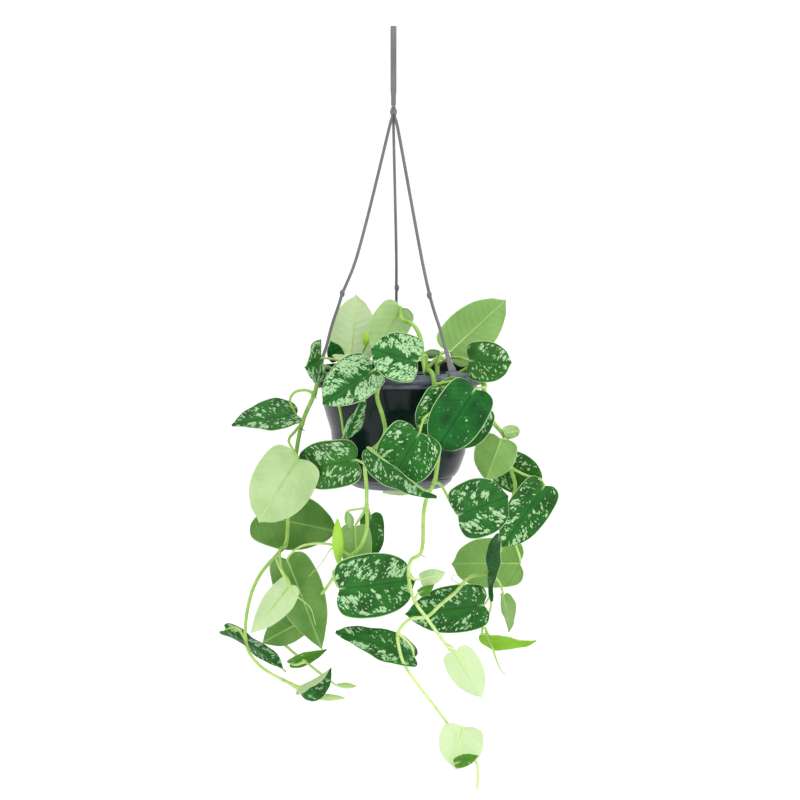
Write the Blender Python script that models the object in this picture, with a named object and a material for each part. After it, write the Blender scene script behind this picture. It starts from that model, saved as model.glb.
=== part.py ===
"""A satin pothos in a plastic hanging pot with a clip-on saucer and a three-strand hanger.

The origin is the inner top of the hook, where a rod or a ring carries the pot. +Z is up and
the front of the plant faces -Y. Places are in millimetres, and MM turns them into metres.
"""

import math
from typing import NamedTuple

import bmesh
import bpy
from mathutils import Matrix, Vector, noise

MM = 0.001
GAP = 0.3

# The pot: a turned cup with a straight band at its rim and a clip-on saucer under it.
AXIS_X = 5.0
RIM_Z = -292.0
RIM_RADIUS = 75.0
BAND_HEIGHT = 12.0
WALL = 2.0
EDGE = 0.6
POT_SIDE = ((68.0, 12.5), (66.3, 31.0), (59.4, 54.0), (57.2, 74.0), (53.3, 85.0), (51.3, 89.5))
POT_FLOOR = (48.0, 94.0)
POT_SIDES = 32
DRAIN_RADIUS = 4.0
DRAIN_RING = 26.0
DRAIN_COUNT = 4
SAUCER_RADIUS = 46.4
SAUCER_FOOT = (37.7, 103.4)
SAUCER_SIDES = 28
POST_RADIUS = 4.6
POST_HEAD = 6.0
POST_RISE = 3.2

# The potting mix, with a bumpy top a little under the rim.
SOIL_DEPTH = 12.0
SOIL_RINGS = 5
SOIL_SPOKES = 20
SOIL_BUMP = 1.6
ROOT_DEPTH = 9.0

# The hanger: a flat hook, a collar and three strands that clip over the rim.
HOOK_BORE = 6.0
HOOK_WIDTH = 5.2
HOOK_THICK = 3.5
HOOK_LEG = -26.5
COLLAR_TOP = -68.5
COLLAR_FOOT = -72.5
COLLAR_RADIUS = 3.0
COLLAR_BORE = 2.5
STRAND = 2.5
STRAND_TIP = 1.6
CLIP_WIDTH = 10.0
CLIP_THICK = 1.7
CLIP_LEG = 5.0
TAB_LENGTH = 20.0
NUB = 3.4
NUB_POINT = 1

# The plant.
BLADE_THICK = 0.9
STEM_SIDES = 6
STALK_SIDES = 4
STALK_THICK = 2.7
STALK_SINK = 5.0
STALK_UNDER = 0.55
STALK_ENDS = ((0.95, 0.95), (0.6, 0.6))
HOLE_ROOM = 0.6

# Stations down one half of a blade: place on the midrib and on the margin as shares of the
# length, half width as a share of the width, and what a blunt blade adds to that.
STATIONS = (
    (0.05, -0.055, 0.20, 0.02),
    (0.17, 0.03, 0.42, 0.01),
    (0.39, 0.34, 0.50, 0.0),
    (0.64, 0.64, 0.40, 0.07),
    (0.86, 0.86, 0.17, 0.15),
)
COLUMNS = (-1.0, -0.5, 0.0, 0.5, 1.0)


class Leaf(NamedTuple):
    """A heart-shaped blade on a stalk that leaves the stem at one of its points."""

    joint: int
    bends: tuple
    base: tuple
    tip: tuple
    width: float
    turn: float = 0.0
    fold: float = 8.0
    droop: float = 24.0
    full: float = 0.0
    wave: float = 0.025


class Spear(NamedTuple):
    """A young leaf that is still rolled up."""

    joint: int
    base: tuple
    tip: tuple
    width: float


class Vine(NamedTuple):
    """A leafy stem: its points from the root to the end, its thickness and what it bears."""

    stem: tuple
    thick: tuple
    bears: tuple


VINES = {
    "crown_left": Vine(
        ((-28, -8), (-28, -8, -300), (-30, -11, -292), (-31, -13, -285)),
        (4.4, 3.6),
        (
            Leaf(2, ((-38, -20, -290),), (-37, -24, -281), (-32, -15, -227), 41, 180, 6, 14),
            Leaf(3, ((-22, -40, -283), (-13, -64, -282)), (-17, -83, -287), (-60, -92, -315), 45, 24, 22,
                 22, full=0.4),
            Leaf(2, ((-42, -28, -285), (-52, -40, -281)), (-62, -50, -279), (-75, -80, -284), 38, -19, 8,
                 18, full=0.8, wave=0.05),
            Leaf(3, ((-42, -16, -285),), (-48, -20, -283), (-54, -27, -266), 15, 0, 12, 16),
            Spear(3, (-24, -38, -270), (-23, -42, -257), 7),
        ),
    ),
    "crown_right": Vine(
        ((38, -5), (38, -5, -300), (38, -3, -289), (41, 0, -279)),
        (4.4, 3.6),
        (
            Leaf(3, (), (49, 2, -278), (98, 18, -234), 44, 180, 8, 14),
            Leaf(2, ((47, -14, -283), (56, -34, -280)), (65, -54, -281), (101, -64, -282), 36, 0, 8, 22,
                 full=0.8),
            Spear(3, (40, -1, -278), (24, -6, -281), 9),
        ),
    ),
    "vine_left": Vine(
        (
            (-44, -20), (-44, -20, -301), (-51, -29, -292), (-58.5, -37, -288.4), (-63.5, -42, -291.4),
            (-65, -43, -300), (-68, -40, -311), (-79, -32, -338), (-86, -24, -378), (-91, -14, -418),
            (-94, -8, -446), (-100, -6, -453), (-114, -4, -469), (-122, -2, -484), (-127, 0, -502),
            (-129, 0, -517), (-129, -2, -529), (-126, -4, -540), (-118, -8, -550), (-110, -10, -556),
            (-97, -12, -563), (-83, -14, -569),
        ),
        (4.0, 2.8),
        (
            Leaf(6, ((-75, -38, -308), (-85, -36, -310), (-89, -34, -317)), (-84, -32, -330),
                 (-139, -42, -338), 42, 56, 10, 14),
            Leaf(7, ((-85, -38, -344), (-90, -42, -351)), (-82, -46, -366), (-116, -50, -421), 54, 180, 5,
                 22, full=0.5),
            Leaf(9, ((-101, -4, -423),), (-118, 2, -421), (-48, 14, -437), 52, 180, 6, 22, full=0.4),
            Leaf(10, ((-98, -22, -448), (-97, -32, -462)), (-89, -34, -477), (-124, -30, -520), 27, 200, 8,
                 22),
            Leaf(16, ((-137, 4, -520),), (-147, 10, -523), (-94, 2, -559), 25, -68, 10, 18, full=0.6),
            Leaf(21, (), (-82, -18, -569), (-54, -24, -551), 36, 52, 50, 18),
            Spear(20, (-72, -13, -578), (-42, -14, -579), 7),
        ),
    ),
    "vine_left_front": Vine(
        (
            (-30, -38), (-30, -38, -301), (-34, -48, -292), (-38, -59, -288.4), (-41.5, -66, -291.4),
            (-44, -69, -300), (-47, -72, -313),
        ),
        (3.8, 2.8),
        (
            Leaf(6, ((-44, -77, -329),), (-41, -78, -344), (-25, -84, -307), 31, 66, 8, 16),
        ),
    ),
    "vine_front_left": Vine(
        (
            (-12, -52), (-12, -52, -301), (-12, -62, -292), (-12, -70.5, -288.4), (-12, -77.6, -291.2),
            (-12.5, -79, -300), (-14, -80, -309), (-9, -78, -327), (-7, -74, -340), (-11, -73, -349),
            (-18, -72, -356), (-24, -66, -368), (-23, -62, -389), (-23, -60, -407), (-23, -58, -426),
            (-29, -54, -442), (-37, -50, -450), (-45, -44, -459), (-59, -18, -483), (-74, 6, -501),
            (-87, 15, -516), (-102, 14, -527), (-90, 8, -540), (-77, 0, -549), (-64, -3, -559),
            (-52, -4, -568),
        ),
        (4.0, 2.4),
        (
            Leaf(10, ((-22, -90, -352),), (-19, -104, -352), (37, -104, -393), 34, 45, 42, 12),
            Leaf(11, ((-28, -63, -367),), (-32, -59, -366), (-82, -28, -377), 43, 0, 8, 18, full=1.0),
            Leaf(13, ((-29, -54, -417),), (-33, -48, -425), (-31, -44, -470), 28, 180, 8, 20, full=0.4),
            Leaf(13, ((-22, -44, -409),), (-20, -30, -417), (-19, -26, -456), 24, -24, 8, 20, full=0.4),
            Leaf(17, ((-52, -58, -464),), (-46, -66, -476), (19, -52, -470), 56, 0, 6, 18, full=1.0),
            Leaf(16, ((-54, -42, -441), (-80, -31, -444)), (-92, -19, -457), (-62, -15, -537), 42, 180, 8,
                 18),
            Leaf(20, (), (-80, 10, -515), (-115, 0, -533), 28, 176, 8, 18),
            Leaf(23, ((-86, 1, -552),), (-90, 2, -551), (-58, -2, -538), 13, 20, 12, 12),
            Spear(17, (-47, -53, -456), (-48, -60, -416), 11),
            Spear(13, (-40, -56, -411), (-36, -56, -426), 9),
            Spear(25, (-50, -5, -569), (-32, -6, -570), 6),
        ),
    ),
    "vine_front_right": Vine(
        (
            (26, -50), (26, -50, -301), (28, -59, -292), (30.5, -68, -288.4), (33.5, -74.8, -291.4),
            (35, -76, -300), (37, -75, -322), (39, -70, -347), (37, -67, -373), (35, -65, -384),
            (29, -62, -397), (26, -60, -410), (25, -58, -439), (23, -58, -447), (15, -63, -452),
            (13, -68, -464), (18, -67, -486), (30, -62, -504), (40, -62, -518), (48, -62, -529),
        ),
        (4.2, 2.8),
        (
            Leaf(2, ((25, -50, -278), (23, -48, -262), (17, -47, -251), (7, -44, -246)), (6, -36, -237),
                 (-18, -46, -276), 34, 180, 6, 20),
            Leaf(2, ((28, -72, -275),), (20, -95, -278), (-19, -108, -266), 42, 0, 8, 20, full=0.8),
            Leaf(5, ((46, -79, -297), (57, -77, -297)), (57, -74, -303), (36, -77, -314), 27, 0, 6, 16,
                 full=0.8),
            Leaf(6, ((43, -80, -305),), (44, -83, -306), (26, -82, -344), 35, -10, 5, 14, full=0.8),
            Leaf(6, ((33, -86, -322), (26, -93, -327)), (22, -97, -339), (-3, -101, -380), 52, 0, 4, 14,
                 full=0.9),
            Leaf(9, ((40, -68, -386),), (55, -78, -411), (98, -84, -394), 51, 0, 6, 16, full=1.0),
            Leaf(15, ((17, -64, -468),), (24, -60, -469), (45, -56, -463), 15, 160, 12, 16),
            Leaf(16, (), (22, -62, -480), (35, -62, -473), 10, 20, 20, 12),
            Leaf(19, (), (53, -66, -531), (76, -70, -570), 30, 180, 6, 22, full=0.2),
        ),
    ),
    "vine_right": Vine(
        (
            (50, -28), (50, -28, -301), (60, -32, -292), (67.5, -36, -288.4), (73.8, -39, -291.4),
            (77, -40, -300), (78, -39, -310), (82, -37, -330), (97, -33, -351), (101, -28, -376),
            (105, -26, -392), (101, -24, -411), (98, -22, -430), (94, -20, -443), (83, -20, -467),
            (66, -28, -471), (53, -40, -483), (40, -46, -493), (29, -52, -502), (14, -56, -504),
            (4, -60, -515), (5, -62, -529), (9, -62, -542), (18, -60, -556), (31, -60, -573),
            (48, -58, -596), (62, -57, -614), (71, -56, -627), (73, -55, -640), (72, -54, -653),
        ),
        (4.2, 2.4),
        (
            Leaf(5, ((79, -60, -303),), (69, -84, -303), (36, -92, -354), 46, 0, 6, 14, full=0.9),
            Leaf(6, ((79, -50, -314),), (71, -58, -318), (49, -61, -355), 44, 0, 6, 18, full=0.6),
            Leaf(8, (), (92, -43, -350), (79, -47, -386), 38, 180, 14, 18, wave=0.06),
            Leaf(8, ((97, -36, -347),), (95, -37, -345), (109, -37, -343), 12, 180, 10, 12, full=1.0),
            Leaf(9, ((95, -21, -378),), (92, -20, -374), (129, -22, -392), 36, 0, 8, 20, full=0.6),
            Leaf(9, ((116, -31, -383), (126, -32, -385)), (130, -34, -391), (93, -40, -444), 37, 0, 6, 22,
                 full=0.5),
            Leaf(12, ((106, -8, -446),), (110, 3, -463), (50, -2, -463), 45, 180, 8, 16, full=0.8),
            Leaf(12, ((95, -27, -432),), (91, -30, -436), (85, -33, -492), 30, 70, 6, 14),
            Leaf(14, ((92, -16, -478),), (96, -19, -488), (100, -22, -520), 25, 240, 8, 18),
            Leaf(14, ((84, -20, -500), (78, -23, -512)), (77, -26, -521), (124, -26, -527), 31, 58, 20, 18),
            Leaf(14, ((85, -22, -484),), (78, -24, -496), (9, -38, -502), 43, 0, 6, 14, full=0.3),
            Leaf(20, ((15, -55, -527),), (17, -50, -538), (-50, -62, -514), 35, 50, 8, 12, full=0.4),
            Leaf(25, ((53, -60, -596),), (60, -62, -597), (54, -78, -631), 40, 172, -10, 30, full=0.4),
        ),
    ),
    "vine_back_right": Vine(
        (
            (28, 40), (28, 40, -301), (34, 50, -292), (41, 62.5, -288.4), (45, 69.4, -291.4),
            (46, 72, -299), (46, 73, -312), (42, 70, -335), (34, 63, -358), (26, 56, -378),
        ),
        (4.0, 3.2),
        (
            Leaf(5, ((52, 78, -310),), (46, 82, -320), (52, 88, -374), 44, 180, 6, 20),
            Leaf(4, ((36, 82, -300),), (28, 86, -308), (15, 95, -358), 45, 172, 6, 20),
            Leaf(8, (), (26, 68, -352), (6, 72, -392), 40, 188, 6, 20),
            Leaf(9, (), (20, 60, -384), (-10, 56, -408), 34, 180, 6, 20),
        ),
    ),
    "vine_back_left": Vine(
        (
            (-20, 38), (-20, 38, -301), (-27, 49, -292), (-34, 60.5, -288.4), (-38.3, 67.5, -291.4),
            (-40, 71, -299), (-41, 72, -312), (-38, 68, -335), (-32, 62, -356), (-30, 56, -374),
        ),
        (4.0, 3.2),
        (
            Leaf(5, ((-44, 80, -306),), (-38, 84, -316), (-42, 91, -368), 44, 180, 6, 20),
            Leaf(4, ((-26, 80, -299),), (-22, 84, -306), (-28, 94, -354), 43, 186, 6, 20),
            Leaf(8, (), (-28, 70, -350), (-16, 74, -392), 42, 176, 6, 20),
        ),
    ),
}


def clear_scene():
    """Removes every object of the startup scene."""
    for thing in list(bpy.data.objects):
        bpy.data.objects.remove(thing, do_unlink=True)


def material(name, colour, roughness):
    """A plain Principled material."""
    made = bpy.data.materials.new(name)
    made.use_nodes = True
    shader = made.node_tree.nodes["Principled BSDF"]
    shader.inputs["Base Color"].default_value = (*colour, 1.0)
    shader.inputs["Roughness"].default_value = roughness
    shader.inputs["Metallic"].default_value = 0.0
    return made


def finish(bm, name, dressed_in, smooth=35.0):
    """Turns a bmesh in millimetres into an object in metres, shaded smooth."""
    bmesh.ops.scale(bm, vec=(MM, MM, MM), verts=bm.verts)
    mesh = bpy.data.meshes.new(name)
    bm.to_mesh(mesh)
    bm.free()
    mesh.shade_smooth()
    mesh.set_sharp_from_angle(angle=math.radians(smooth))
    mesh.materials.append(dressed_in)
    made = bpy.data.objects.new(name, mesh)
    bpy.context.scene.collection.objects.link(made)
    return made


def boolean(body, others, operation, solver):
    """Joins the others to the body, or cuts them from it, and removes them."""
    group = bpy.data.collections.new(body.name + "_repeats")
    bpy.context.scene.collection.children.link(group)
    for other in others:
        bpy.context.scene.collection.objects.unlink(other)
        group.objects.link(other)
    step = body.modifiers.new("Join", "BOOLEAN")
    step.operation = operation
    step.operand_type = "COLLECTION"
    step.collection = group
    step.solver = solver
    graph = bpy.context.evaluated_depsgraph_get()
    mesh = bpy.data.meshes.new_from_object(body.evaluated_get(graph))
    body.modifiers.remove(step)
    body.data = mesh
    for other in others:
        bpy.data.objects.remove(other, do_unlink=True)
    bpy.data.collections.remove(group)


def turned(bm, profile, sides):
    """Turns an outline round the pot's axis. It runs up the inside and down the outside."""
    verts = [bm.verts.new((radius, 0.0, z)) for radius, z in profile]
    edges = [bm.edges.new(pair) for pair in zip(verts, verts[1:])]
    bmesh.ops.spin(bm, geom=verts + edges, cent=(0, 0, 0), axis=(0, 0, 1), angle=math.tau, steps=sides)
    bmesh.ops.remove_doubles(bm, verts=bm.verts, dist=0.01)
    bmesh.ops.recalc_face_normals(bm, faces=bm.faces)
    bmesh.ops.translate(bm, vec=(AXIS_X, 0, 0), verts=bm.verts)


def cylinder(name, centre, radius, low, high, dressed_in, sides=10):
    """An upright round cutter."""
    bm = bmesh.new()
    middle = Matrix.Translation((centre[0], centre[1], (low + high) / 2))
    bmesh.ops.create_cone(bm, cap_ends=True, segments=sides, radius1=radius, radius2=radius,
                          depth=high - low, matrix=middle)
    return finish(bm, name, dressed_in)


def make_pot(plastic):
    """The cup: floor, sloping side, a ledge and the straight band at the rim."""
    outer = [(radius, RIM_Z - down) for radius, down in POT_SIDE]
    floor = RIM_Z - POT_FLOOR[1]
    inner = [(radius - WALL, RIM_Z - down) for radius, down in POT_SIDE[1:]]
    profile = [(0, floor + WALL), (POT_FLOOR[0] - WALL, floor + WALL)]
    profile += list(reversed(inner))
    profile += [
        (POT_SIDE[0][0] - WALL, RIM_Z - BAND_HEIGHT + WALL),
        (RIM_RADIUS - WALL, RIM_Z - BAND_HEIGHT + WALL),
        (RIM_RADIUS - WALL, RIM_Z - EDGE),
        (RIM_RADIUS - WALL + EDGE, RIM_Z),
        (RIM_RADIUS - EDGE, RIM_Z),
        (RIM_RADIUS, RIM_Z - EDGE),
        (RIM_RADIUS, RIM_Z - BAND_HEIGHT),
    ]
    profile += outer + [(POT_FLOOR[0], floor), (0, floor)]
    bm = bmesh.new()
    turned(bm, profile, POT_SIDES)
    pot = finish(bm, "pot", plastic)
    cuts = [cylinder("post_hole", (AXIS_X, 0), POST_RADIUS + GAP + 0.1, floor - 2, floor + 5, plastic)]
    for number in range(DRAIN_COUNT):
        angle = math.tau * (number + 0.5) / DRAIN_COUNT
        place = (AXIS_X + DRAIN_RING * math.cos(angle), DRAIN_RING * math.sin(angle))
        cuts.append(cylinder(f"drain_{number}", place, DRAIN_RADIUS, floor - 2, floor + 5, plastic))
    boolean(pot, cuts, "DIFFERENCE", "EXACT")
    return pot


def make_saucer(plastic):
    """The dish under the pot. A post in its middle snaps through the pot's floor and holds it up."""
    foot_radius, foot_down = SAUCER_FOOT
    foot, rim = RIM_Z - foot_down, RIM_Z - POT_FLOOR[1] - GAP
    inside = RIM_Z - POT_FLOOR[1] + WALL
    profile = [
        (0, inside + POST_RISE),
        (POST_RADIUS - 1, inside + POST_RISE),
        (POST_HEAD, inside + GAP + 1),
        (POST_HEAD, inside + GAP),
        (POST_RADIUS, inside + GAP),
        (POST_RADIUS, foot + WALL),
        (foot_radius - 1, foot + WALL),
        (SAUCER_RADIUS - 3.2, rim - 3.2),
        (SAUCER_RADIUS - WALL, rim),
        (SAUCER_RADIUS, rim),
        (SAUCER_RADIUS - 1, rim - 3.6),
        (foot_radius + 3, foot + 1.2),
        (foot_radius, foot),
        (0, foot),
    ]
    bm = bmesh.new()
    turned(bm, profile, SAUCER_SIDES)
    return finish(bm, "saucer", plastic)


def pot_inner_radius(down):
    """The pot's inner radius at a depth under the rim."""
    for (upper_radius, upper), (lower_radius, lower) in zip(POT_SIDE, POT_SIDE[1:]):
        if down <= lower:
            share = (down - upper) / (lower - upper)
            return upper_radius + share * (lower_radius - upper_radius) - WALL
    return POT_SIDE[-1][0] - WALL


def make_soil(mix):
    """The potting mix: a plug that fills the pot, bumpy on top, with a plain hole for each stem."""
    room = 3 * GAP
    bm = bmesh.new()
    rings = []
    for ring in range(1, SOIL_RINGS + 1):
        share = ring / SOIL_RINGS
        radius = (pot_inner_radius(SOIL_DEPTH + 0.5) - room) * share
        circle = []
        for spoke in range(SOIL_SPOKES):
            angle = math.tau * (spoke + 0.5 * (ring % 2)) / SOIL_SPOKES
            x, y = AXIS_X + radius * math.cos(angle), radius * math.sin(angle)
            height = SOIL_BUMP * noise.noise(Vector((x, y, 0)) * 0.09) - 1.5 * share ** 4
            circle.append(bm.verts.new((x, y, RIM_Z - SOIL_DEPTH - 1.5 + height)))
        rings.append(circle)
    floor = RIM_Z - POT_FLOOR[1] + WALL + GAP
    lower = [(pot_inner_radius(down) - room, RIM_Z - down) for _, down in POT_SIDE[1:]]
    dimple = POST_HEAD + 2
    lower += [(POT_FLOOR[0] - WALL - room, floor), (dimple, floor), (dimple, floor + POST_RISE)]
    for radius, height in lower:
        rings.append([
            bm.verts.new((
                AXIS_X + radius * math.cos(math.tau * (spoke + 0.5) / SOIL_SPOKES),
                radius * math.sin(math.tau * (spoke + 0.5) / SOIL_SPOKES),
                height,
            ))
            for spoke in range(SOIL_SPOKES)
        ])
    top = bm.verts.new((AXIS_X, 0, RIM_Z - SOIL_DEPTH))
    bottom = bm.verts.new((AXIS_X, 0, floor + POST_RISE))
    for spoke in range(SOIL_SPOKES):
        after = (spoke + 1) % SOIL_SPOKES
        bm.faces.new((top, rings[0][spoke], rings[0][after]))
        bm.faces.new((bottom, rings[-1][after], rings[-1][spoke]))
        for inner, outer in zip(rings, rings[1:]):
            bm.faces.new((inner[spoke], outer[spoke], outer[after], inner[after]))
    bmesh.ops.triangulate(bm, faces=bm.faces)
    bmesh.ops.recalc_face_normals(bm, faces=bm.faces)
    soil = finish(bm, "soil", mix, smooth=60.0)
    holes = []
    low = RIM_Z - SOIL_DEPTH - ROOT_DEPTH - GAP
    for name, vine in VINES.items():
        radius = vine.thick[0] / 2 + HOLE_ROOM
        holes.append(cylinder(f"hole_{name}", vine.stem[0], radius, low, RIM_Z, mix, sides=8))
    boolean(soil, holes, "DIFFERENCE", "EXACT")
    return soil


def swept(path, halves, sides, start_side=None, corner=1.0):
    """A closed bar along a path, with its half sizes at each point, as a new bmesh.

    The section keeps its side direction from turning as it goes. A corner under 1 squares it.
    """
    bm = bmesh.new()
    rings = []
    side = Vector(start_side) if start_side else None
    for number, point in enumerate(path):
        before, after = path[max(number - 1, 0)], path[min(number + 1, len(path) - 1)]
        heading = (after - before).normalized()
        if side is None:
            side = heading.orthogonal()
        side = (side - heading * side.dot(heading)).normalized()
        across = heading.cross(side)
        wide, thick = halves[number]
        ring = []
        for corner_number in range(sides):
            angle = math.tau * (corner_number + 0.5) / sides
            cos, sin = math.cos(angle), math.sin(angle)
            cos = math.copysign(abs(cos) ** corner, cos)
            sin = math.copysign(abs(sin) ** corner, sin)
            ring.append(bm.verts.new(point + side * wide * cos + across * thick * sin))
        rings.append(ring)
    for lower, upper in zip(rings, rings[1:]):
        for number in range(sides):
            after = (number + 1) % sides
            bm.faces.new((lower[number], lower[after], upper[after], upper[number]))
    bm.faces.new(list(reversed(rings[0])))
    bm.faces.new(rings[-1])
    bmesh.ops.recalc_face_normals(bm, faces=bm.faces)
    return bm


def make_hook(plastic):
    """The flat hook, its shank and the collar that the three strands go up into."""
    middle = HOOK_BORE + HOOK_THICK / 2
    centre_z = -HOOK_BORE
    arc = [
        (0, -middle * math.cos(angle), centre_z + middle * math.sin(angle))
        for angle in (math.pi * step / 9 for step in range(10))
    ]
    leg = [(0, -middle - 0.8, HOOK_LEG), (0, -middle - 0.1, HOOK_LEG + 6), (0, -middle, -13)]
    shank = [(0, middle, -14), (0, middle - 0.2, -26), (0, 5.2, -36), (0, 1.6, -46), (0, 0.2, -55),
             (0, 0, -62), (0, 0, COLLAR_TOP - 1)]
    path = [Vector(point) for point in leg + arc + shank]
    halves = []
    for point in path:
        neck = point.y > -1 and point.z < -54
        halves.append((HOOK_WIDTH / 2 * (0.82 if neck else 1), HOOK_THICK / 2))
    hook = finish(swept(path, halves, 8, (1, 0, 0), 0.45), "hanger_hook", plastic)
    bm = bmesh.new()
    profile = [(0, COLLAR_TOP), (COLLAR_RADIUS, COLLAR_TOP), (COLLAR_RADIUS, COLLAR_FOOT),
               (COLLAR_BORE, COLLAR_FOOT), (COLLAR_BORE, COLLAR_TOP - 1.2), (0, COLLAR_TOP - 1.2)]
    turned(bm, profile, 16)
    bmesh.ops.translate(bm, vec=(-AXIS_X, 0, 0), verts=bm.verts)
    collar = finish(bm, "collar", plastic)
    boolean(hook, [collar], "UNION", "EXACT")
    return hook


STRANDS = {
    "strand_left": (203.0, 210.0, ((-33, -15, -199), (-44, -19.5, -226), (-47.5, -21, -237),
                                   (-52.7, -23, -252), (-58, -25.5, -272), (-61, -27, -281))),
    "strand_right": (308.0, 330.0, ((25, -31, -199), (31, -38, -226), (35, -42, -240), (40, -47.5, -255),
                                    (44.5, -53, -271), (47.5, -56.5, -281))),
    "strand_rear": (92.0, 90.0, ((2.4, 42, -199), (2.4, 51.5, -226), (2.4, 56.5, -240), (2.4, 62, -255),
                                 (2.4, 68, -272), (2.4, 71, -281))),
}


def make_strand(name, rim_angle, top_angle, route, plastic):
    """One strand of the hanger, from the collar to the clip over the rim that ends it."""
    out = Vector((math.cos(math.radians(rim_angle)), math.sin(math.radians(rim_angle)), 0))
    tangent = Vector((-out.y, out.x, 0))
    axis = Vector((AXIS_X, 0, 0))
    ring = COLLAR_BORE - STRAND_TIP / 2 - GAP - 0.05
    top = Vector((ring * math.cos(math.radians(top_angle)), ring * math.sin(math.radians(top_angle)), 0))
    seat = COLLAR_TOP - 1.2 - GAP
    web_top = RIM_Z + GAP + CLIP_THICK
    web = axis + out * (RIM_RADIUS - WALL / 2) + Vector((0, 0, web_top - 0.6))
    points = [top + Vector((0, 0, seat)), top * 1.15 + Vector((0, 0, COLLAR_FOOT - 2)),
              top * 2.6 + Vector((0, 0, COLLAR_FOOT - 9))]
    points += [Vector(point) for point in route] + [web]
    nub_place = Vector(route[NUB_POINT])
    halves = []
    for point in points:
        above = point.z - web_top
        flare = max(0.0, 1.0 - above / TAB_LENGTH)
        if point.z > COLLAR_FOOT - 3:
            halves.append((STRAND_TIP / 2, STRAND_TIP / 2))
        else:
            wide = STRAND / 2 + (CLIP_WIDTH / 2 - 0.6 - STRAND / 2) * flare
            halves.append((wide, STRAND / 2 - 0.3 * flare))
    strand = finish(swept(points, halves, 6, tangent), name, plastic)
    bm = bmesh.new()
    nub_frame = Matrix.Translation(nub_place - tangent * 0.4) @ Matrix.Diagonal((1, 1, 1.5, 1))
    bmesh.ops.create_icosphere(bm, subdivisions=1, radius=NUB / 2 + 0.5, matrix=nub_frame)
    nub = finish(bm, name + "_nub", plastic)
    outer = RIM_RADIUS + GAP + CLIP_THICK
    inner = RIM_RADIUS - WALL - 3 * GAP - CLIP_THICK
    lip = RIM_Z - BAND_HEIGHT - GAP - 0.5
    section = [
        (inner, RIM_Z - CLIP_LEG), (inner + CLIP_THICK, RIM_Z - CLIP_LEG), (inner + CLIP_THICK, RIM_Z + GAP),
        (RIM_RADIUS + GAP, RIM_Z + GAP), (RIM_RADIUS + GAP, lip), (RIM_RADIUS - 2.4, lip),
        (RIM_RADIUS - 2.4, lip - 1.2), (outer, lip - 1.6), (outer, web_top - 0.5), (outer - 0.5, web_top),
        (inner + 0.5, web_top), (inner, web_top - 0.5),
    ]
    bm = bmesh.new()
    verts = [bm.verts.new(axis + out * radius + Vector((0, 0, z)) - tangent * CLIP_WIDTH / 2)
             for radius, z in section]
    face = bm.faces.new(verts)
    grown = bmesh.ops.extrude_face_region(bm, geom=[face])
    moved = [part for part in grown["geom"] if isinstance(part, bmesh.types.BMVert)]
    bmesh.ops.translate(bm, vec=tangent * CLIP_WIDTH, verts=moved)
    bmesh.ops.triangulate(bm, faces=bm.faces)
    bmesh.ops.recalc_face_normals(bm, faces=bm.faces)
    clip = finish(bm, name + "_clip", plastic)
    boolean(strand, [nub, clip], "UNION", "MANIFOLD")
    return strand


def blade_point(leaf, frame, rib, margin, half_width, across):
    """A point of a blade's middle surface, from its place on the flat leaf."""
    base, along, sideways, up, chord = frame
    bend = math.radians(leaf.droop)
    length = chord * (bend / 2) / math.sin(bend / 2)
    reach = abs(across)
    run = (rib + (margin - rib) * reach) * length
    angle = bend / 2 - bend * run / length
    spread = half_width * leaf.width * reach
    rise = spread * math.sin(math.radians(leaf.fold))
    ripple = leaf.wave * length * math.sin(9.5 * run / length + across) * reach * reach
    rib_x = length / bend * (math.sin(bend / 2) - math.sin(angle))
    rib_z = length / bend * (math.cos(angle) - math.cos(bend / 2))
    x = rib_x - (rise + ripple) * math.sin(angle)
    z = rib_z + (rise + ripple) * math.cos(angle)
    y = math.copysign(spread * math.cos(math.radians(leaf.fold)), across)
    return base + along * x + sideways * y + up * z


def leaf_frame(leaf):
    """The leaf's base, its directions along, across and up, and its length from base to tip."""
    base, tip = Vector(leaf.base), Vector(leaf.tip)
    along = (tip - base).normalized()
    front = Vector((0, -1, 0))
    facing = (front - along * front.dot(along)).normalized()
    turn = math.radians(leaf.turn)
    up = facing * math.cos(turn) + along.cross(facing) * math.sin(turn)
    return base, along, up.cross(along), up, (tip - base).length


def make_blade(name, leaf, green):
    """A thin closed blade, split into triangles alike on both of its faces."""
    frame = leaf_frame(leaf)
    bm = bmesh.new()
    start = bm.verts.new(blade_point(leaf, frame, 0, 0, 0, 0))
    end = bm.verts.new(blade_point(leaf, frame, 1, 1, 0, 0))
    rows = [
        [bm.verts.new(blade_point(leaf, frame, rib, margin, half + more * leaf.full, across))
         for across in COLUMNS]
        for rib, margin, half, more in STATIONS
    ]
    for left, right in zip(range(len(COLUMNS)), range(1, len(COLUMNS))):
        bm.faces.new((start, rows[0][left], rows[0][right]))
        bm.faces.new((end, rows[-1][right], rows[-1][left]))
        for upper, lower in zip(rows, rows[1:]):
            if left < len(COLUMNS) // 2:
                bm.faces.new((upper[left], lower[left], lower[right]))
                bm.faces.new((upper[left], lower[right], upper[right]))
            else:
                bm.faces.new((upper[left], lower[left], upper[right]))
                bm.faces.new((upper[right], lower[left], lower[right]))
    bm.normal_update()
    sheet = list(bm.verts)
    rim = [edge for edge in bm.edges if edge.is_boundary]
    faces = list(bm.faces)
    half = BLADE_THICK / 2
    under = {vert: bm.verts.new(vert.co - vert.normal * half) for vert in sheet}
    links = [(edge.verts[0], edge.verts[1]) for edge in rim]
    for vert in sheet:
        vert.co += vert.normal * half
    for face in faces:
        bm.faces.new([under[vert] for vert in reversed(face.verts)])
    for first, second in links:
        bm.faces.new((first, second, under[second]))
        bm.faces.new((first, under[second], under[first]))
    bmesh.ops.recalc_face_normals(bm, faces=bm.faces)
    return finish(bm, name, green)


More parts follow.
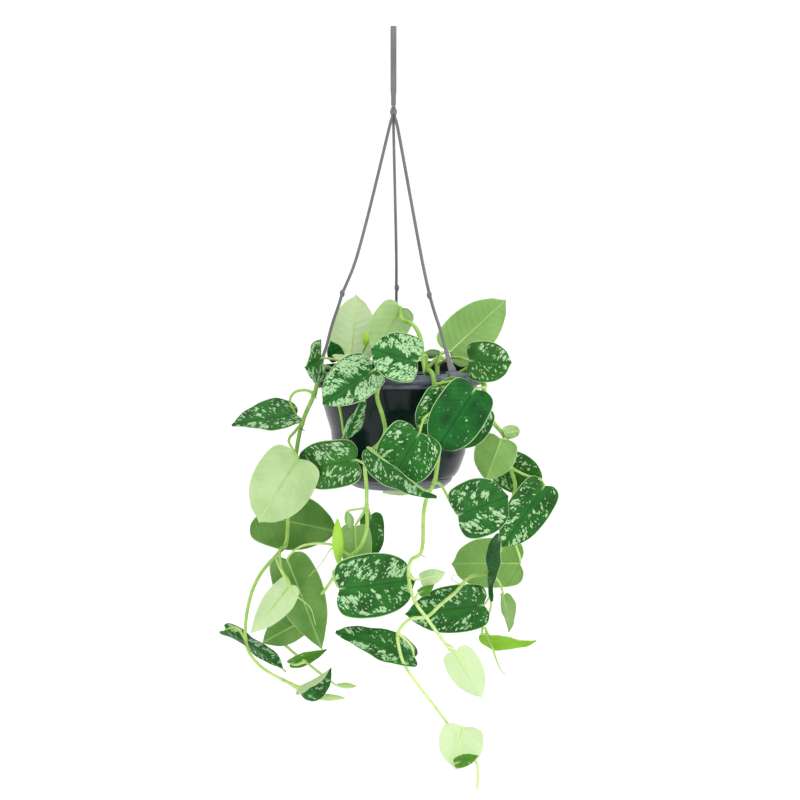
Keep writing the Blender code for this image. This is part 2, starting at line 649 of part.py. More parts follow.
def make_stalk(name, vine_path, leaf, green):
    """The leaf's stalk, from inside the stem to just past the blade's base and under it."""
    frame = leaf_frame(leaf)
    end = frame[0] + (blade_point(leaf, frame, 0.12, 0.12, 0, 0) - frame[0]).normalized() * STALK_SINK
    points = [Vector(vine_path[leaf.joint])] + [Vector(bend) for bend in leaf.bends]
    points += [Vector(leaf.base) - frame[3] * STALK_UNDER, end - frame[3] * STALK_UNDER]
    halves = [(STALK_THICK / 2 * (1 - 0.35 * number / len(points)),) * 2 for number in range(len(points))]
    halves[-2:] = STALK_ENDS
    return finish(swept(points, halves, STALK_SIDES), name, green)


def make_spear(name, vine_path, spear, green):
    """A rolled young leaf, on its own short stalk."""
    base, tip = Vector(spear.base), Vector(spear.tip)
    path = [Vector(vine_path[spear.joint]), base]
    shares = (0.12, 0.35, 0.65, 0.88, 1.0)
    path += [base.lerp(tip, share) for share in shares]
    widths = (1.6, 1.5) + tuple(max(0.5, spear.width / 2 * math.sin(math.pi * (share * 0.86 + 0.1)))
                                for share in shares)
    return finish(swept(path, [(width, width * 0.7) for width in widths], STEM_SIDES), name, green)


def rooted(vine):
    """The stem's points, the first of them at the bottom of its hole in the soil."""
    x, y = vine.stem[0]
    return ((x, y, RIM_Z - SOIL_DEPTH - ROOT_DEPTH),) + vine.stem[1:]


def make_vine(name, vine, green):
    """One leafy stem: the stem, its stalks, blades and rolled young leaves as one body."""
    points = rooted(vine)
    path = [Vector(point) for point in points]
    thick, thin = vine.thick
    halves = []
    for number in range(len(path)):
        half = (thick + (thin - thick) * number / len(path)) / 2
        halves.append((half, half))
    stem = finish(swept(path, halves, STEM_SIDES), name, green)
    parts = []
    for number, grown in enumerate(vine.bears):
        if isinstance(grown, Spear):
            parts.append(make_spear(f"{name}_spear_{number}", points, grown, green))
            continue
        parts.append(make_stalk(f"{name}_stalk_{number}", points, grown, green))
        parts.append(make_blade(f"{name}_blade_{number}", grown, green))
    # EXACT is slow on this many thin blades.
    boolean(stem, parts, "UNION", "MANIFOLD")
    return stem


def main():
    """Builds the pot, its hanger, the soil and the plant."""
    clear_scene()
    slate = material("slate_plastic", (0.03, 0.045, 0.055), 0.35)
    grey = material("grey_plastic", (0.16, 0.16, 0.18), 0.4)
    hanger = material("hanger_plastic", (0.15, 0.16, 0.17), 0.45)
    mix = material("potting_mix", (0.035, 0.022, 0.014), 0.95)
    green = material("satin_leaf", (0.05, 0.17, 0.05), 0.5)
    make_pot(slate)
    make_saucer(grey)
    make_soil(mix)
    make_hook(hanger)
    for name, (rim_angle, top_angle, route) in STRANDS.items():
        make_strand(name, rim_angle, top_angle, route, hanger)
    for name, vine in VINES.items():
        make_vine(name, vine, green)


main()
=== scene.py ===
import logging
import math
from dataclasses import dataclass, field
from enum import Enum

import bmesh
import bpy
import numpy as np
from mathutils import Matrix, Vector


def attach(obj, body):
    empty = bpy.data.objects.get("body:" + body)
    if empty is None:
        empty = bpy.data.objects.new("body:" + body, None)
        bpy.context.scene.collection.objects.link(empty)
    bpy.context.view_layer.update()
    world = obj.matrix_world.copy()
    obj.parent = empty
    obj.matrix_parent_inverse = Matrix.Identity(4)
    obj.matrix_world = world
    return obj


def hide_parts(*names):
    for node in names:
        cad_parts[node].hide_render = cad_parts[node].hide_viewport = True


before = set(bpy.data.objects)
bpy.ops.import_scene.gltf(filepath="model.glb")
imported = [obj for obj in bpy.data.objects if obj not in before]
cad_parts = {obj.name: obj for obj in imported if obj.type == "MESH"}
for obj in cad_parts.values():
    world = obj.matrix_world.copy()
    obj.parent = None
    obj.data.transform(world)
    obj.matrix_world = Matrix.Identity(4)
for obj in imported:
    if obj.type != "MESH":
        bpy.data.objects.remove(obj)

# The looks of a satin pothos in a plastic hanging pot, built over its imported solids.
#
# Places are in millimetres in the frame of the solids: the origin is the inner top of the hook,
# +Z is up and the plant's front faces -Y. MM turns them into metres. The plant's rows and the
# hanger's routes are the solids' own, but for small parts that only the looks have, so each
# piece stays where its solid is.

MM = 0.001
BODY = "root"
Point = tuple[float, float, float]
Colour = tuple[float, float, float]
Socket = bpy.types.NodeSocket
Sockets = bpy.types.bpy_prop_collection
Value = Socket | float
Given = dict[str | int, object]
Values = dict[str, tuple[np.ndarray, float, float]]
Surface = tuple[np.ndarray, np.ndarray, np.ndarray]

SHADER_TREE = "ShaderNodeTree"
GEOMETRY_TREE = "GeometryNodeTree"

# A leaf's flat map, in its own UV map, and its side veins: how far they lean towards the tip and
# curve, and how far apart they are on the upper face.
FLAT_MAP = "leaf"
FLAT_SCALE = 100.0
VEIN_LEAN = 0.42
VEIN_CURVE = 0.008
VEIN_SPACING = 4.6

log = logging.getLogger("satin_pothos")


class Slot(Enum):
    """The record's material slots."""

    POT = "pot_plastic"
    SAUCER = "saucer_plastic"
    HANGER = "hanger_plastic"
    SOIL = "potting_mix"
    LEAF = "satin_leaf"


class Look(Enum):
    """How a leaf's upper face is marked: its share of silver and how young its green is."""

    SILVERED = (0.98, 0.05)
    SPLASHED = (0.54, 0.05)
    FLECKED = (0.50, 0.10)
    SPARSE = (0.22, 0.0)
    FRESH = (0.36, 0.30)
    LIME = (0.22, 1.0)


@dataclass(frozen=True)
class Leaf:
    """A heart-shaped blade on a stalk that leaves the stem at one of its points.

    turn 0 shows the upper face to the front and 180 the underside. look marks the upper face,
    pale is the underside's tone, from 0, deep, to 1, nearly white, and stalk is the stalk's
    thickness as a share of the usual one.
    """

    joint: int
    bends: tuple[Point, ...]
    base: Point
    tip: Point
    width: float
    turn: float = 0.0
    fold: float = 8.0
    droop: float = 24.0
    full: float = 0.0
    wave: float = 0.025
    look: Look = Look.SPLASHED
    pale: float = 0.55
    stalk: float = 1.0


@dataclass(frozen=True)
class Spear:
    """A young leaf that is still rolled up."""

    joint: int
    base: Point
    tip: Point
    width: float
    young: float = 0.3
    pale: float = 0.75


@dataclass(frozen=True)
class Root:
    """A thin aerial root or tendril along its points."""

    points: tuple[Point, ...]
    thick: float = 1.1
    tone: float = 0.7


@dataclass(frozen=True)
class Vine:
    """A leafy stem: its points, its thickness and tone at both ends, and what it bears."""

    stem: tuple[tuple[float, ...], ...]
    thick: tuple[float, float]
    bears: tuple[Leaf | Spear | Root, ...]
    tones: tuple[float, float] = (0.25, 0.7)


VINES: dict[str, Vine] = {
    "crown_left": Vine(
        ((-28, -8), (-28, -8, -300), (-30, -11, -292), (-31, -13, -285)),
        (4.4, 3.6),
        (
            Leaf(2, ((-38, -20, -290),), (-37, -24, -281), (-32, -15, -227), 41, 180, 6, 14, full=0.35,
                 pale=1.0),
            Leaf(3, ((-22, -40, -283), (-13, -64, -282)), (-17, -83, -287), (-60, -92, -315), 45, 24, 22, 22,
                 full=0.4, look=Look.SILVERED),
            Leaf(2, ((-42, -28, -285), (-52, -40, -281)), (-62, -50, -279), (-75, -80, -284), 38, -19, 8, 18,
                 full=0.8, wave=0.05, look=Look.SILVERED),
            Leaf(3, ((-42, -16, -285),), (-48, -20, -283), (-54, -27, -266), 15, 0, 12, 16, look=Look.SPARSE),
            Spear(3, (-24, -38, -270), (-23, -42, -257), 7, young=1.0),
        ),
    ),
    "crown_right": Vine(
        ((38, -5), (38, -5, -300), (38, -3, -289), (41, 0, -279)),
        (4.4, 3.6),
        (
            Leaf(3, (), (49, 2, -278), (98, 18, -234), 44, 180, 8, 14, full=0.4, pale=0.42),
            Leaf(2, ((47, -14, -283), (56, -34, -280)), (65, -54, -281), (101, -64, -282), 36, 0, 8, 22,
                 full=0.8, look=Look.FLECKED),
            Spear(3, (40, -1, -278), (24, -6, -281), 9, young=0.0, pale=0.2),
        ),
    ),
    "vine_left": Vine(
        (
            (-44, -20), (-44, -20, -301), (-51, -29, -292), (-58.5, -37, -288.4), (-63.5, -42, -291.4),
            (-65, -43, -300), (-68, -40, -311), (-79, -32, -338), (-86, -24, -378), (-91, -14, -418),
            (-94, -8, -446), (-100, -6, -453), (-114, -4, -469), (-122, -2, -484), (-127, 0, -502),
            (-129, 0, -517), (-129, -2, -529), (-126, -4, -540), (-118, -8, -550), (-110, -10, -556),
            (-97, -12, -563), (-83, -14, -569),
        ),
        (4.0, 2.8),
        (
            Leaf(6, ((-75, -38, -308), (-85, -36, -310), (-89, -34, -317)), (-84, -32, -330),
                 (-139, -42, -338), 42, 56, 10, 14),
            Leaf(7, ((-85, -38, -344), (-90, -42, -351)), (-82, -46, -366), (-116, -50, -421), 54, 180, 5, 22,
                 full=0.5, pale=0.76),
            Leaf(9, ((-101, -4, -423),), (-118, 2, -421), (-48, 14, -437), 52, 180, 6, 22, full=0.4,
                 pale=0.2),
            Leaf(10, ((-98, -22, -448), (-97, -32, -462)), (-89, -34, -477),
                 (-124, -30, -520), 27, 200, 8, 22, pale=0.85),
            Leaf(16, ((-137, 4, -520),), (-147, 10, -523), (-94, 2, -559), 25, -68, 10, 18, full=0.6,
                 pale=0.7),
            Leaf(21, (), (-82, -18, -569), (-54, -24, -551), 36, 52, 50, 18, pale=0.8),
            Spear(20, (-72, -13, -578), (-42, -14, -579), 7),
            Root(((-99, -8, -450), (-101, -30, -456), (-92, -44, -473), (-86, -46, -483), (-72, -45, -495),
                  (-67, -43, -511)), 2.0),
            Root(((-68, -40, -311), (-66, -44, -315)), 1.6, 0.2),
            Root(((-80, -33, -342), (-76, -36, -343)), 1.4, 0.1),
        ),
    ),
    "vine_left_front": Vine(
        (
            (-30, -38), (-30, -38, -301), (-34, -48, -292), (-38, -59, -288.4), (-41.5, -66, -291.4),
            (-44, -69, -300), (-47, -72, -313),
        ),
        (3.8, 2.8),
        (
            Leaf(6, ((-44, -77, -329),), (-41, -78, -344), (-25, -84, -307), 31, 66, 8, 16,
                 look=Look.SILVERED),
        ),
        tones=(0.3, 0.35),
    ),
    "vine_front_left": Vine(
        (
            (-12, -52), (-12, -52, -301), (-12, -62, -292), (-12, -70.5, -288.4), (-12, -77.6, -291.2),
            (-12.5, -79, -300), (-14, -80, -309), (-9, -78, -327), (-7, -74, -340), (-11, -73, -349),
            (-18, -72, -356), (-24, -66, -368), (-23, -62, -389), (-23, -60, -407), (-23, -58, -426),
            (-29, -54, -442), (-37, -50, -450), (-45, -44, -459), (-59, -18, -483), (-74, 6, -501),
            (-87, 15, -516), (-102, 14, -527), (-90, 8, -540), (-77, 0, -549), (-64, -3, -559),
            (-52, -4, -568),
        ),
        (4.0, 2.4),
        (
            Leaf(10, ((-22, -90, -352),), (-19, -104, -352), (37, -104, -393), 34, 45, 42, 12,
                 look=Look.SPLASHED, pale=0.6),
            Leaf(11, ((-28, -63, -367),), (-32, -59, -366), (-82, -28, -377), 43, 0, 8, 18, full=1.0,
                 look=Look.FLECKED),
            Leaf(13, ((-29, -54, -417),), (-33, -48, -425), (-31, -44, -470), 28, 180, 8, 20, full=0.4),
            Leaf(13, ((-22, -44, -409),), (-20, -30, -417), (-19, -26, -456), 24, -24, 8, 20, full=0.4,
                 look=Look.FLECKED),
            Leaf(17, ((-52, -58, -464),), (-46, -66, -476), (19, -52, -470), 56, 0, 6, 18, full=1.0),
            Leaf(16, ((-54, -42, -441), (-80, -31, -444)), (-92, -19, -457), (-62, -15, -537), 42, 180, 8, 18,
                 pale=0.22),
            Leaf(20, (), (-80, 10, -515), (-115, 0, -533), 28, 176, 8, 18, pale=0.25),
            Leaf(23, ((-86, 1, -552),), (-90, 2, -551), (-58, -2, -538), 13, 20, 12, 12, look=Look.FRESH),
            Spear(17, (-47, -53, -456), (-48, -60, -416), 11, young=1.0),
            Spear(13, (-40, -56, -411), (-36, -56, -426), 9, young=0.0, pale=0.45),
            Spear(25, (-50, -5, -569), (-32, -6, -570), 6),
            Root(((-45, -44, -459), (-52, -50, -443), (-62, -52, -456), (-73, -50, -468)), 1.5),
        ),
        tones=(0.4, 0.75),
    ),
    "vine_front_right": Vine(
        (
            (26, -50), (26, -50, -301), (28, -59, -292), (30.5, -68, -288.4), (33.5, -74.8, -291.4),
            (35, -76, -300), (37, -75, -322), (39, -70, -347), (37, -67, -373), (35, -65, -384),
            (29, -62, -397), (26, -60, -410), (25, -58, -439), (23, -58, -447), (15, -63, -452),
            (13, -68, -464), (18, -67, -486), (30, -62, -504), (40, -62, -518), (48, -62, -529),
        ),
        (4.2, 2.8),
        (
            Leaf(2, ((25, -50, -278), (23, -48, -262), (17, -47, -251), (7, -44, -246)), (6, -36, -237),
                 (-18, -46, -276), 34, 180, 6, 20, pale=0.66, stalk=1.7),
            Leaf(2, ((28, -72, -275),), (20, -95, -278), (-19, -108, -266), 42, 0, 8, 20, full=0.8,
                 look=Look.SILVERED),
            Leaf(5, ((46, -79, -297), (57, -77, -297)), (57, -74, -303),
                 (36, -77, -314), 27, 0, 6, 16, full=0.8, look=Look.FRESH),
            Leaf(6, ((43, -80, -305),), (44, -83, -306), (26, -82, -344), 35, -10, 5, 14, full=0.8),
            Leaf(6, ((33, -86, -322), (26, -93, -327)), (22, -97, -339), (-3, -101, -380), 52, 0, 4, 14,
                 full=0.9),
            Leaf(9, ((40, -68, -386),), (55, -78, -411), (98, -84, -394), 51, 0, 6, 16, full=1.0),
            Leaf(15, ((17, -64, -468),), (24, -60, -469), (45, -56, -463), 15, 160, 12, 16, pale=0.8),
            Leaf(16, (), (22, -62, -480), (35, -62, -473), 10, 20, 20, 12, look=Look.FRESH, pale=0.6),
            Leaf(19, (), (53, -66, -531), (76, -70, -570), 30, 180, 6, 22, full=0.2, pale=1.0),
            Root(((45, -62, -524), (51, -74, -526), (58, -80, -532), (71, -80, -547)), 1.5, 0.9),
            Root(((22, -58, -447), (28, -61, -450)), 1.4, 0.3),
        ),
        tones=(0.25, 0.9),
    ),
    "vine_right": Vine(
        (
            (50, -28), (50, -28, -301), (60, -32, -292), (67.5, -36, -288.4), (73.8, -39, -291.4),
            (77, -40, -300), (78, -39, -310), (82, -37, -330), (97, -33, -351), (101, -28, -376),
            (105, -26, -392), (101, -24, -411), (98, -22, -430), (94, -20, -443), (83, -20, -467),
            (66, -28, -471), (53, -40, -483), (40, -46, -493), (29, -52, -502), (14, -56, -504),
            (4, -60, -515), (5, -62, -529), (9, -62, -542), (18, -60, -556), (31, -60, -573),
            (48, -58, -596), (62, -57, -614), (71, -56, -627), (73, -55, -640), (72, -54, -653),
        ),
        (4.2, 2.4),
        (
            Leaf(5, ((79, -60, -303),), (69, -84, -303), (36, -92, -354), 46, 0, 6, 14, full=0.9,
                 look=Look.SPARSE),
            Leaf(6, ((79, -50, -314),), (71, -58, -318), (49, -61, -355), 44, 0, 6, 18, full=0.6,
                 look=Look.SPLASHED),
            Leaf(8, (), (92, -43, -350), (79, -47, -386), 38, 180, 14, 18, wave=0.06, pale=0.4),
            Leaf(8, ((97, -36, -347),), (95, -37, -345), (109, -37, -343), 12, 180, 10, 12, full=1.0,
                 pale=0.7),
            Leaf(9, ((95, -21, -378),), (92, -20, -374), (129, -22, -392), 36, 0, 8, 20, full=0.6,
                 look=Look.FLECKED),
            Leaf(9, ((116, -31, -383), (126, -32, -385)), (130, -34, -391),
                 (93, -40, -444), 37, 0, 6, 22, full=0.5),
            Leaf(12, ((106, -8, -446),), (110, 3, -463), (50, -2, -463), 45, 180, 8, 16, full=0.8, pale=0.4),
            Leaf(12, ((95, -27, -432),), (91, -30, -436), (85, -33, -492), 30, 70, 6, 14, look=Look.SPARSE),
            Leaf(14, ((92, -16, -478),), (96, -19, -488), (100, -22, -520), 25, 240, 8, 18, pale=0.6),
            Leaf(14, ((84, -20, -500), (78, -23, -512)), (77, -26, -521),
                 (124, -26, -527), 31, 58, 20, 18, look=Look.LIME, pale=0.85),
            Leaf(14, ((85, -22, -484),), (78, -24, -496), (9, -38, -502), 43, 0, 6, 14, full=0.3),
            Leaf(20, ((15, -55, -527),), (17, -50, -538), (-50, -62, -514), 35, 50, 8, 12, full=0.4),
            Leaf(25, ((53, -60, -596),), (60, -62, -597), (54, -78, -631), 40, 172, -10, 30,
                 full=0.4, look=Look.SPLASHED, pale=1.0),
            Leaf(25, ((57, -70, -606),), (53, -79.5, -625), (73, -78.5, -618.5), 11, 0, 0, 4, look=Look.FRESH,
                 pale=1.0, stalk=0.3),
            Root(((79, -26, -515), (84, -30, -528), (92, -32, -550), (97, -32, -556)), 2.6, 0.6),
            Root(((62, -34, -477), (56, -40, -475), (50, -40, -471), (52, -40, -468), (57, -40, -469)), 1.3),
        ),
        tones=(0.35, 1.0),
    ),
    "vine_back_right": Vine(
        (
            (28, 40), (28, 40, -301), (34, 50, -292), (41, 62.5, -288.4), (45, 69.4, -291.4),
            (46, 72, -299), (46, 73, -312), (42, 70, -335), (34, 63, -358), (26, 56, -378),
        ),
        (4.0, 3.2),
        (
            Leaf(5, ((52, 78, -310),), (46, 82, -320), (52, 88, -374), 44, 180, 6, 20),
            Leaf(4, ((36, 82, -300),), (28, 86, -308), (15, 95, -358), 45, 172, 6, 20, look=Look.SILVERED),
            Leaf(8, (), (26, 68, -352), (6, 72, -392), 40, 188, 6, 20, look=Look.FLECKED),
            Leaf(9, (), (20, 60, -384), (-10, 56, -408), 34, 180, 6, 20, pale=0.85),
        ),
    ),
    "vine_back_left": Vine(
        (
            (-20, 38), (-20, 38, -301), (-27, 49, -292), (-34, 60.5, -288.4), (-38.3, 67.5, -291.4),
            (-40, 71, -299), (-41, 72, -312), (-38, 68, -335), (-32, 62, -356), (-30, 56, -374),
        ),
        (4.0, 3.2),
        (
            Leaf(5, ((-44, 80, -306),), (-38, 84, -316), (-42, 91, -368), 44, 180, 6, 20),
            Leaf(4, ((-26, 80, -299),), (-22, 84, -306), (-28, 94, -354), 43, 186, 6, 20, look=Look.SPARSE),
            Leaf(8, (), (-28, 70, -350), (-16, 74, -392), 42, 176, 6, 20, look=Look.FLECKED),
        ),
    ),
}


# ---- Meshes ----


def catmull(knots: np.ndarray, where: np.ndarray) -> np.ndarray:
    """Values on a Catmull-Rom curve.

    Args:
        knots: the control rows, with one extra row before the first and after the last.
        where: places on the curve, counted in knots from the first real one.

    Returns:
        One row for each place.
    """
    span = np.clip(where.astype(int), 0, len(knots) - 4)
    t = (where - span)[:, None]
    a, b, c, d = (knots[span + step] for step in range(4))
    return 0.5 * (2 * b + (c - a) * t + (2 * a - 5 * b + 4 * c - d) * t**2 + (3 * b - 3 * c + d - a) * t**3)


def smooth_path(points: list[Point], step: float) -> np.ndarray:
    """Points on a centripetal Catmull-Rom curve, which doesn't overshoot at uneven spacing.

    Args:
        points: the points that the curve goes through.
        step: about how far apart the returned points lie.

    Returns:
        The curve's points, the last given one included.
    """
    knots = np.array(points, float)
    knots = np.vstack([2 * knots[0] - knots[1], knots, 2 * knots[-1] - knots[-2]])
    path = []
    for a, b, c, d in zip(knots, knots[1:], knots[2:], knots[3:]):
        t0, t1 = 0.0, math.sqrt(np.linalg.norm(b - a))
        t2 = t1 + math.sqrt(np.linalg.norm(c - b))
        t3 = t2 + math.sqrt(np.linalg.norm(d - c))
        count = max(2, round(np.linalg.norm(c - b) / step))
        for t in np.linspace(t1, t2, count, endpoint=False):
            ab = (t1 - t) / (t1 - t0) * a + (t - t0) / (t1 - t0) * b
            bc = (t2 - t) / (t2 - t1) * b + (t - t1) / (t2 - t1) * c
            cd = (t3 - t) / (t3 - t2) * c + (t - t2) / (t3 - t2) * d
            abc = (t2 - t) / (t2 - t0) * ab + (t - t0) / (t2 - t0) * bc
            bcd = (t3 - t) / (t3 - t1) * bc + (t - t1) / (t3 - t1) * cd
            path.append((t2 - t) / (t2 - t1) * abc + (t - t1) / (t2 - t1) * bcd)
    path.append(knots[-2])
    return np.array(path)


def lengths_along(path: np.ndarray) -> np.ndarray:
    """The distance of each point of a path from its start."""
    return np.concatenate([[0.0], np.cumsum(np.linalg.norm(np.diff(path, axis=0), axis=1))])


def rounded(corners: list[tuple[float, float]], radius: float, steps: int = 4) -> np.ndarray:
    """An open outline with its inner corners rounded.

    Args:
        corners: the outline's corners.
        radius: how far from a corner its curve starts, or less beside a short side.
        steps: the points that a curve gets.

    Returns:
        The outline's points.
    """
    points = [np.array(corner, float) for corner in corners]
    outline = [points[0]]
    for before, here, after in zip(points, points[1:], points[2:]):
        back, ahead = before - here, after - here
        reach = min(radius, 0.45 * np.linalg.norm(back), 0.45 * np.linalg.norm(ahead))
        start = here + back / np.linalg.norm(back) * reach
        end = here + ahead / np.linalg.norm(ahead) * reach
        for t in np.linspace(0, 1, steps + 1):
            outline.append((1 - t) ** 2 * start + 2 * t * (1 - t) * here + t**2 * end)
    outline.append(points[-1])
    return np.array(outline)


def unit_circle(sides: int) -> np.ndarray:
    """Points round a circle of radius 1."""
    angles = math.tau * np.arange(sides) / sides
    return np.stack([np.cos(angles), np.sin(angles)], axis=1)


def level_ring(places: np.ndarray, height: float | np.ndarray) -> np.ndarray:
    """Places on a plane, lifted to a height."""
    return np.column_stack([places, np.broadcast_to(height, len(places))])


def add_columns(mesh: bpy.types.Mesh, columns: dict[str, np.ndarray]) -> None:
    """Gives a mesh named values at its points."""
    for name, column in columns.items():
        mesh.attributes.new(name, "FLOAT", "POINT").data.foreach_set("value", column.astype(np.float32))


@dataclass
class Draft:
    """A mesh in the making, in millimetres, from closed shells with values at their points."""

    points: list[np.ndarray] = field(default_factory=list)
    faces: list[tuple[int, ...]] = field(default_factory=list)
    slots: list[int] = field(default_factory=list)
    values: dict[str, list[np.ndarray]] = field(default_factory=dict)
    count: int = 0

    def add_shell(
        self,
        rings: np.ndarray,
        ends: tuple[np.ndarray, np.ndarray],
        slots: list[int] | None = None,
        values: Values | None = None,
    ) -> None:
        """Adds a closed tube of rings that ends in a point at both ends.

        Args:
            rings: points, as rings by places round a ring.
            ends: the point before the first ring and the one after the last.
            slots: the material of each place round the ring.
            values: for each named value, its numbers on the rings and at the two ends.
        """
        many, around = rings.shape[:2]
        index = np.arange(many * around).reshape(many, around)
        after = np.roll(index, -1, axis=1)
        start, end = many * around, many * around + 1
        faces = []
        for here, there in zip(index.T.tolist(), after.T.tolist()):
            faces.append((start, there[0], here[0]))
            faces += zip(here, there, there[1:], here[1:])
            faces.append((end, here[-1], there[-1]))
        points = np.vstack([rings.reshape(-1, 3), ends[0], ends[1]])
        triangles = [(face[0], b, c) for face in faces for b, c in zip(face[1:], face[2:])]
        a, b, c = points[np.array(triangles)].transpose(1, 0, 2)
        turn = -1 if np.sum(a * np.cross(b, c)) < 0 else 1
        self.points.append(points)
        self.faces += [tuple(self.count + corner for corner in face[::turn]) for face in faces]
        self.slots += [slot for slot in slots or [0] * around for _ in range(many + 1)]
        for name, (on_rings, at_start, at_end) in (values or {}).items():
            column = np.concatenate([np.asarray(on_rings, float).reshape(-1), [at_start, at_end]])
            self.values.setdefault(name, []).append(column)
        self.count += len(points)

    def add_turned(self, outline: np.ndarray, centre: tuple[float, float], sides: int) -> None:
        """Adds a closed shape turned round an upright axis.

        Args:
            outline: radius and height of each point, the first and the last on the axis.
            centre: where the axis stands.
            sides: the steps round the axis.
        """
        circle = unit_circle(sides)
        rings = [level_ring(circle * radius + centre, height) for radius, height in outline[1:-1]]
        self.add_shell(np.array(rings), tuple(np.array([*centre, outline[place][1]]) for place in (0, -1)))

    def mesh(
        self, name: str, materials: list[bpy.types.Material], flat: tuple[str, str] | None = None
    ) -> bpy.types.Mesh:
        """The finished mesh in metres.

        Args:
            name: the mesh's name.
            materials: one for each slot number.
            flat: the two values that make up its UV map, if it has one.

        Returns:
            The mesh, shaded smooth.
        """
        made = bpy.data.meshes.new(name)
        made.from_pydata((np.vstack(self.points) * MM).tolist(), [], self.faces)
        for material in materials:
            made.materials.append(material)
        made.polygons.foreach_set("material_index", self.slots)
        columns = {key: np.concatenate(parts) for key, parts in self.values.items()}
        if flat:
            loop_points = np.empty(len(made.loops), np.int32)
            made.loops.foreach_get("vertex_index", loop_points)
            pairs = np.stack([columns.pop(key)[loop_points] for key in flat], axis=1)
            made.uv_layers.new(name=FLAT_MAP).uv.foreach_set("vector", pairs.astype(np.float32).reshape(-1))
        add_columns(made, columns)
        made.shade_smooth()
        made.update()
        return made


def placed(name: str, data: bpy.types.ID) -> bpy.types.Object:
    """Puts a new object into the scene.

    Args:
        name: the object's name.
        data: its mesh, camera or light.

    Returns:
        The object.
    """
    made = bpy.data.objects.new(name, data)
    bpy.context.scene.collection.objects.link(made)
    return made


def stand(name: str, mesh: bpy.types.Mesh, node: str) -> None:
    """Puts a finished mesh into the scene as a piece that stands for this solid.

    Args:
        name: the piece's name.
        mesh: its mesh.
        node: the solid's node.
    """
    piece = placed(name, mesh)
    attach(piece, BODY)
    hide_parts(node)
    log.info("%s: %d points, %d faces", name, len(mesh.vertices), len(mesh.polygons))


def swept_rings(path: np.ndarray, halves: np.ndarray, side: Point, sides: int, corner: float) -> np.ndarray:
    """Rings along a path whose section keeps its side direction.

    Args:
        path: the middle line.
        halves: half the width and half the thickness at each point.
        side: the direction of the width.
        sides: the points of a ring.
        corner: 1 for a round section, less for a squarer one.

    Returns:
        The points, as rings by places round a ring.
    """
    rings = []
    across = np.array(side, float)
    for number, point in enumerate(path):
        heading = path[min(number + 1, len(path) - 1)] - path[max(number - 1, 0)]
        heading /= np.linalg.norm(heading)
        across = across - heading * np.dot(across, heading)
        across /= np.linalg.norm(across)
        other = np.cross(heading, across)
        angles = math.tau * (np.arange(sides) + 0.5) / sides
        cos = np.sign(np.cos(angles)) * np.abs(np.cos(angles)) ** corner
        sin = np.sign(np.sin(angles)) * np.abs(np.sin(angles)) ** corner
        wide, thick = halves[number]
        rings.append(point + np.outer(cos * wide, across) + np.outer(sin * thick, other))
    return np.array(rings)


# ---- Node trees ----


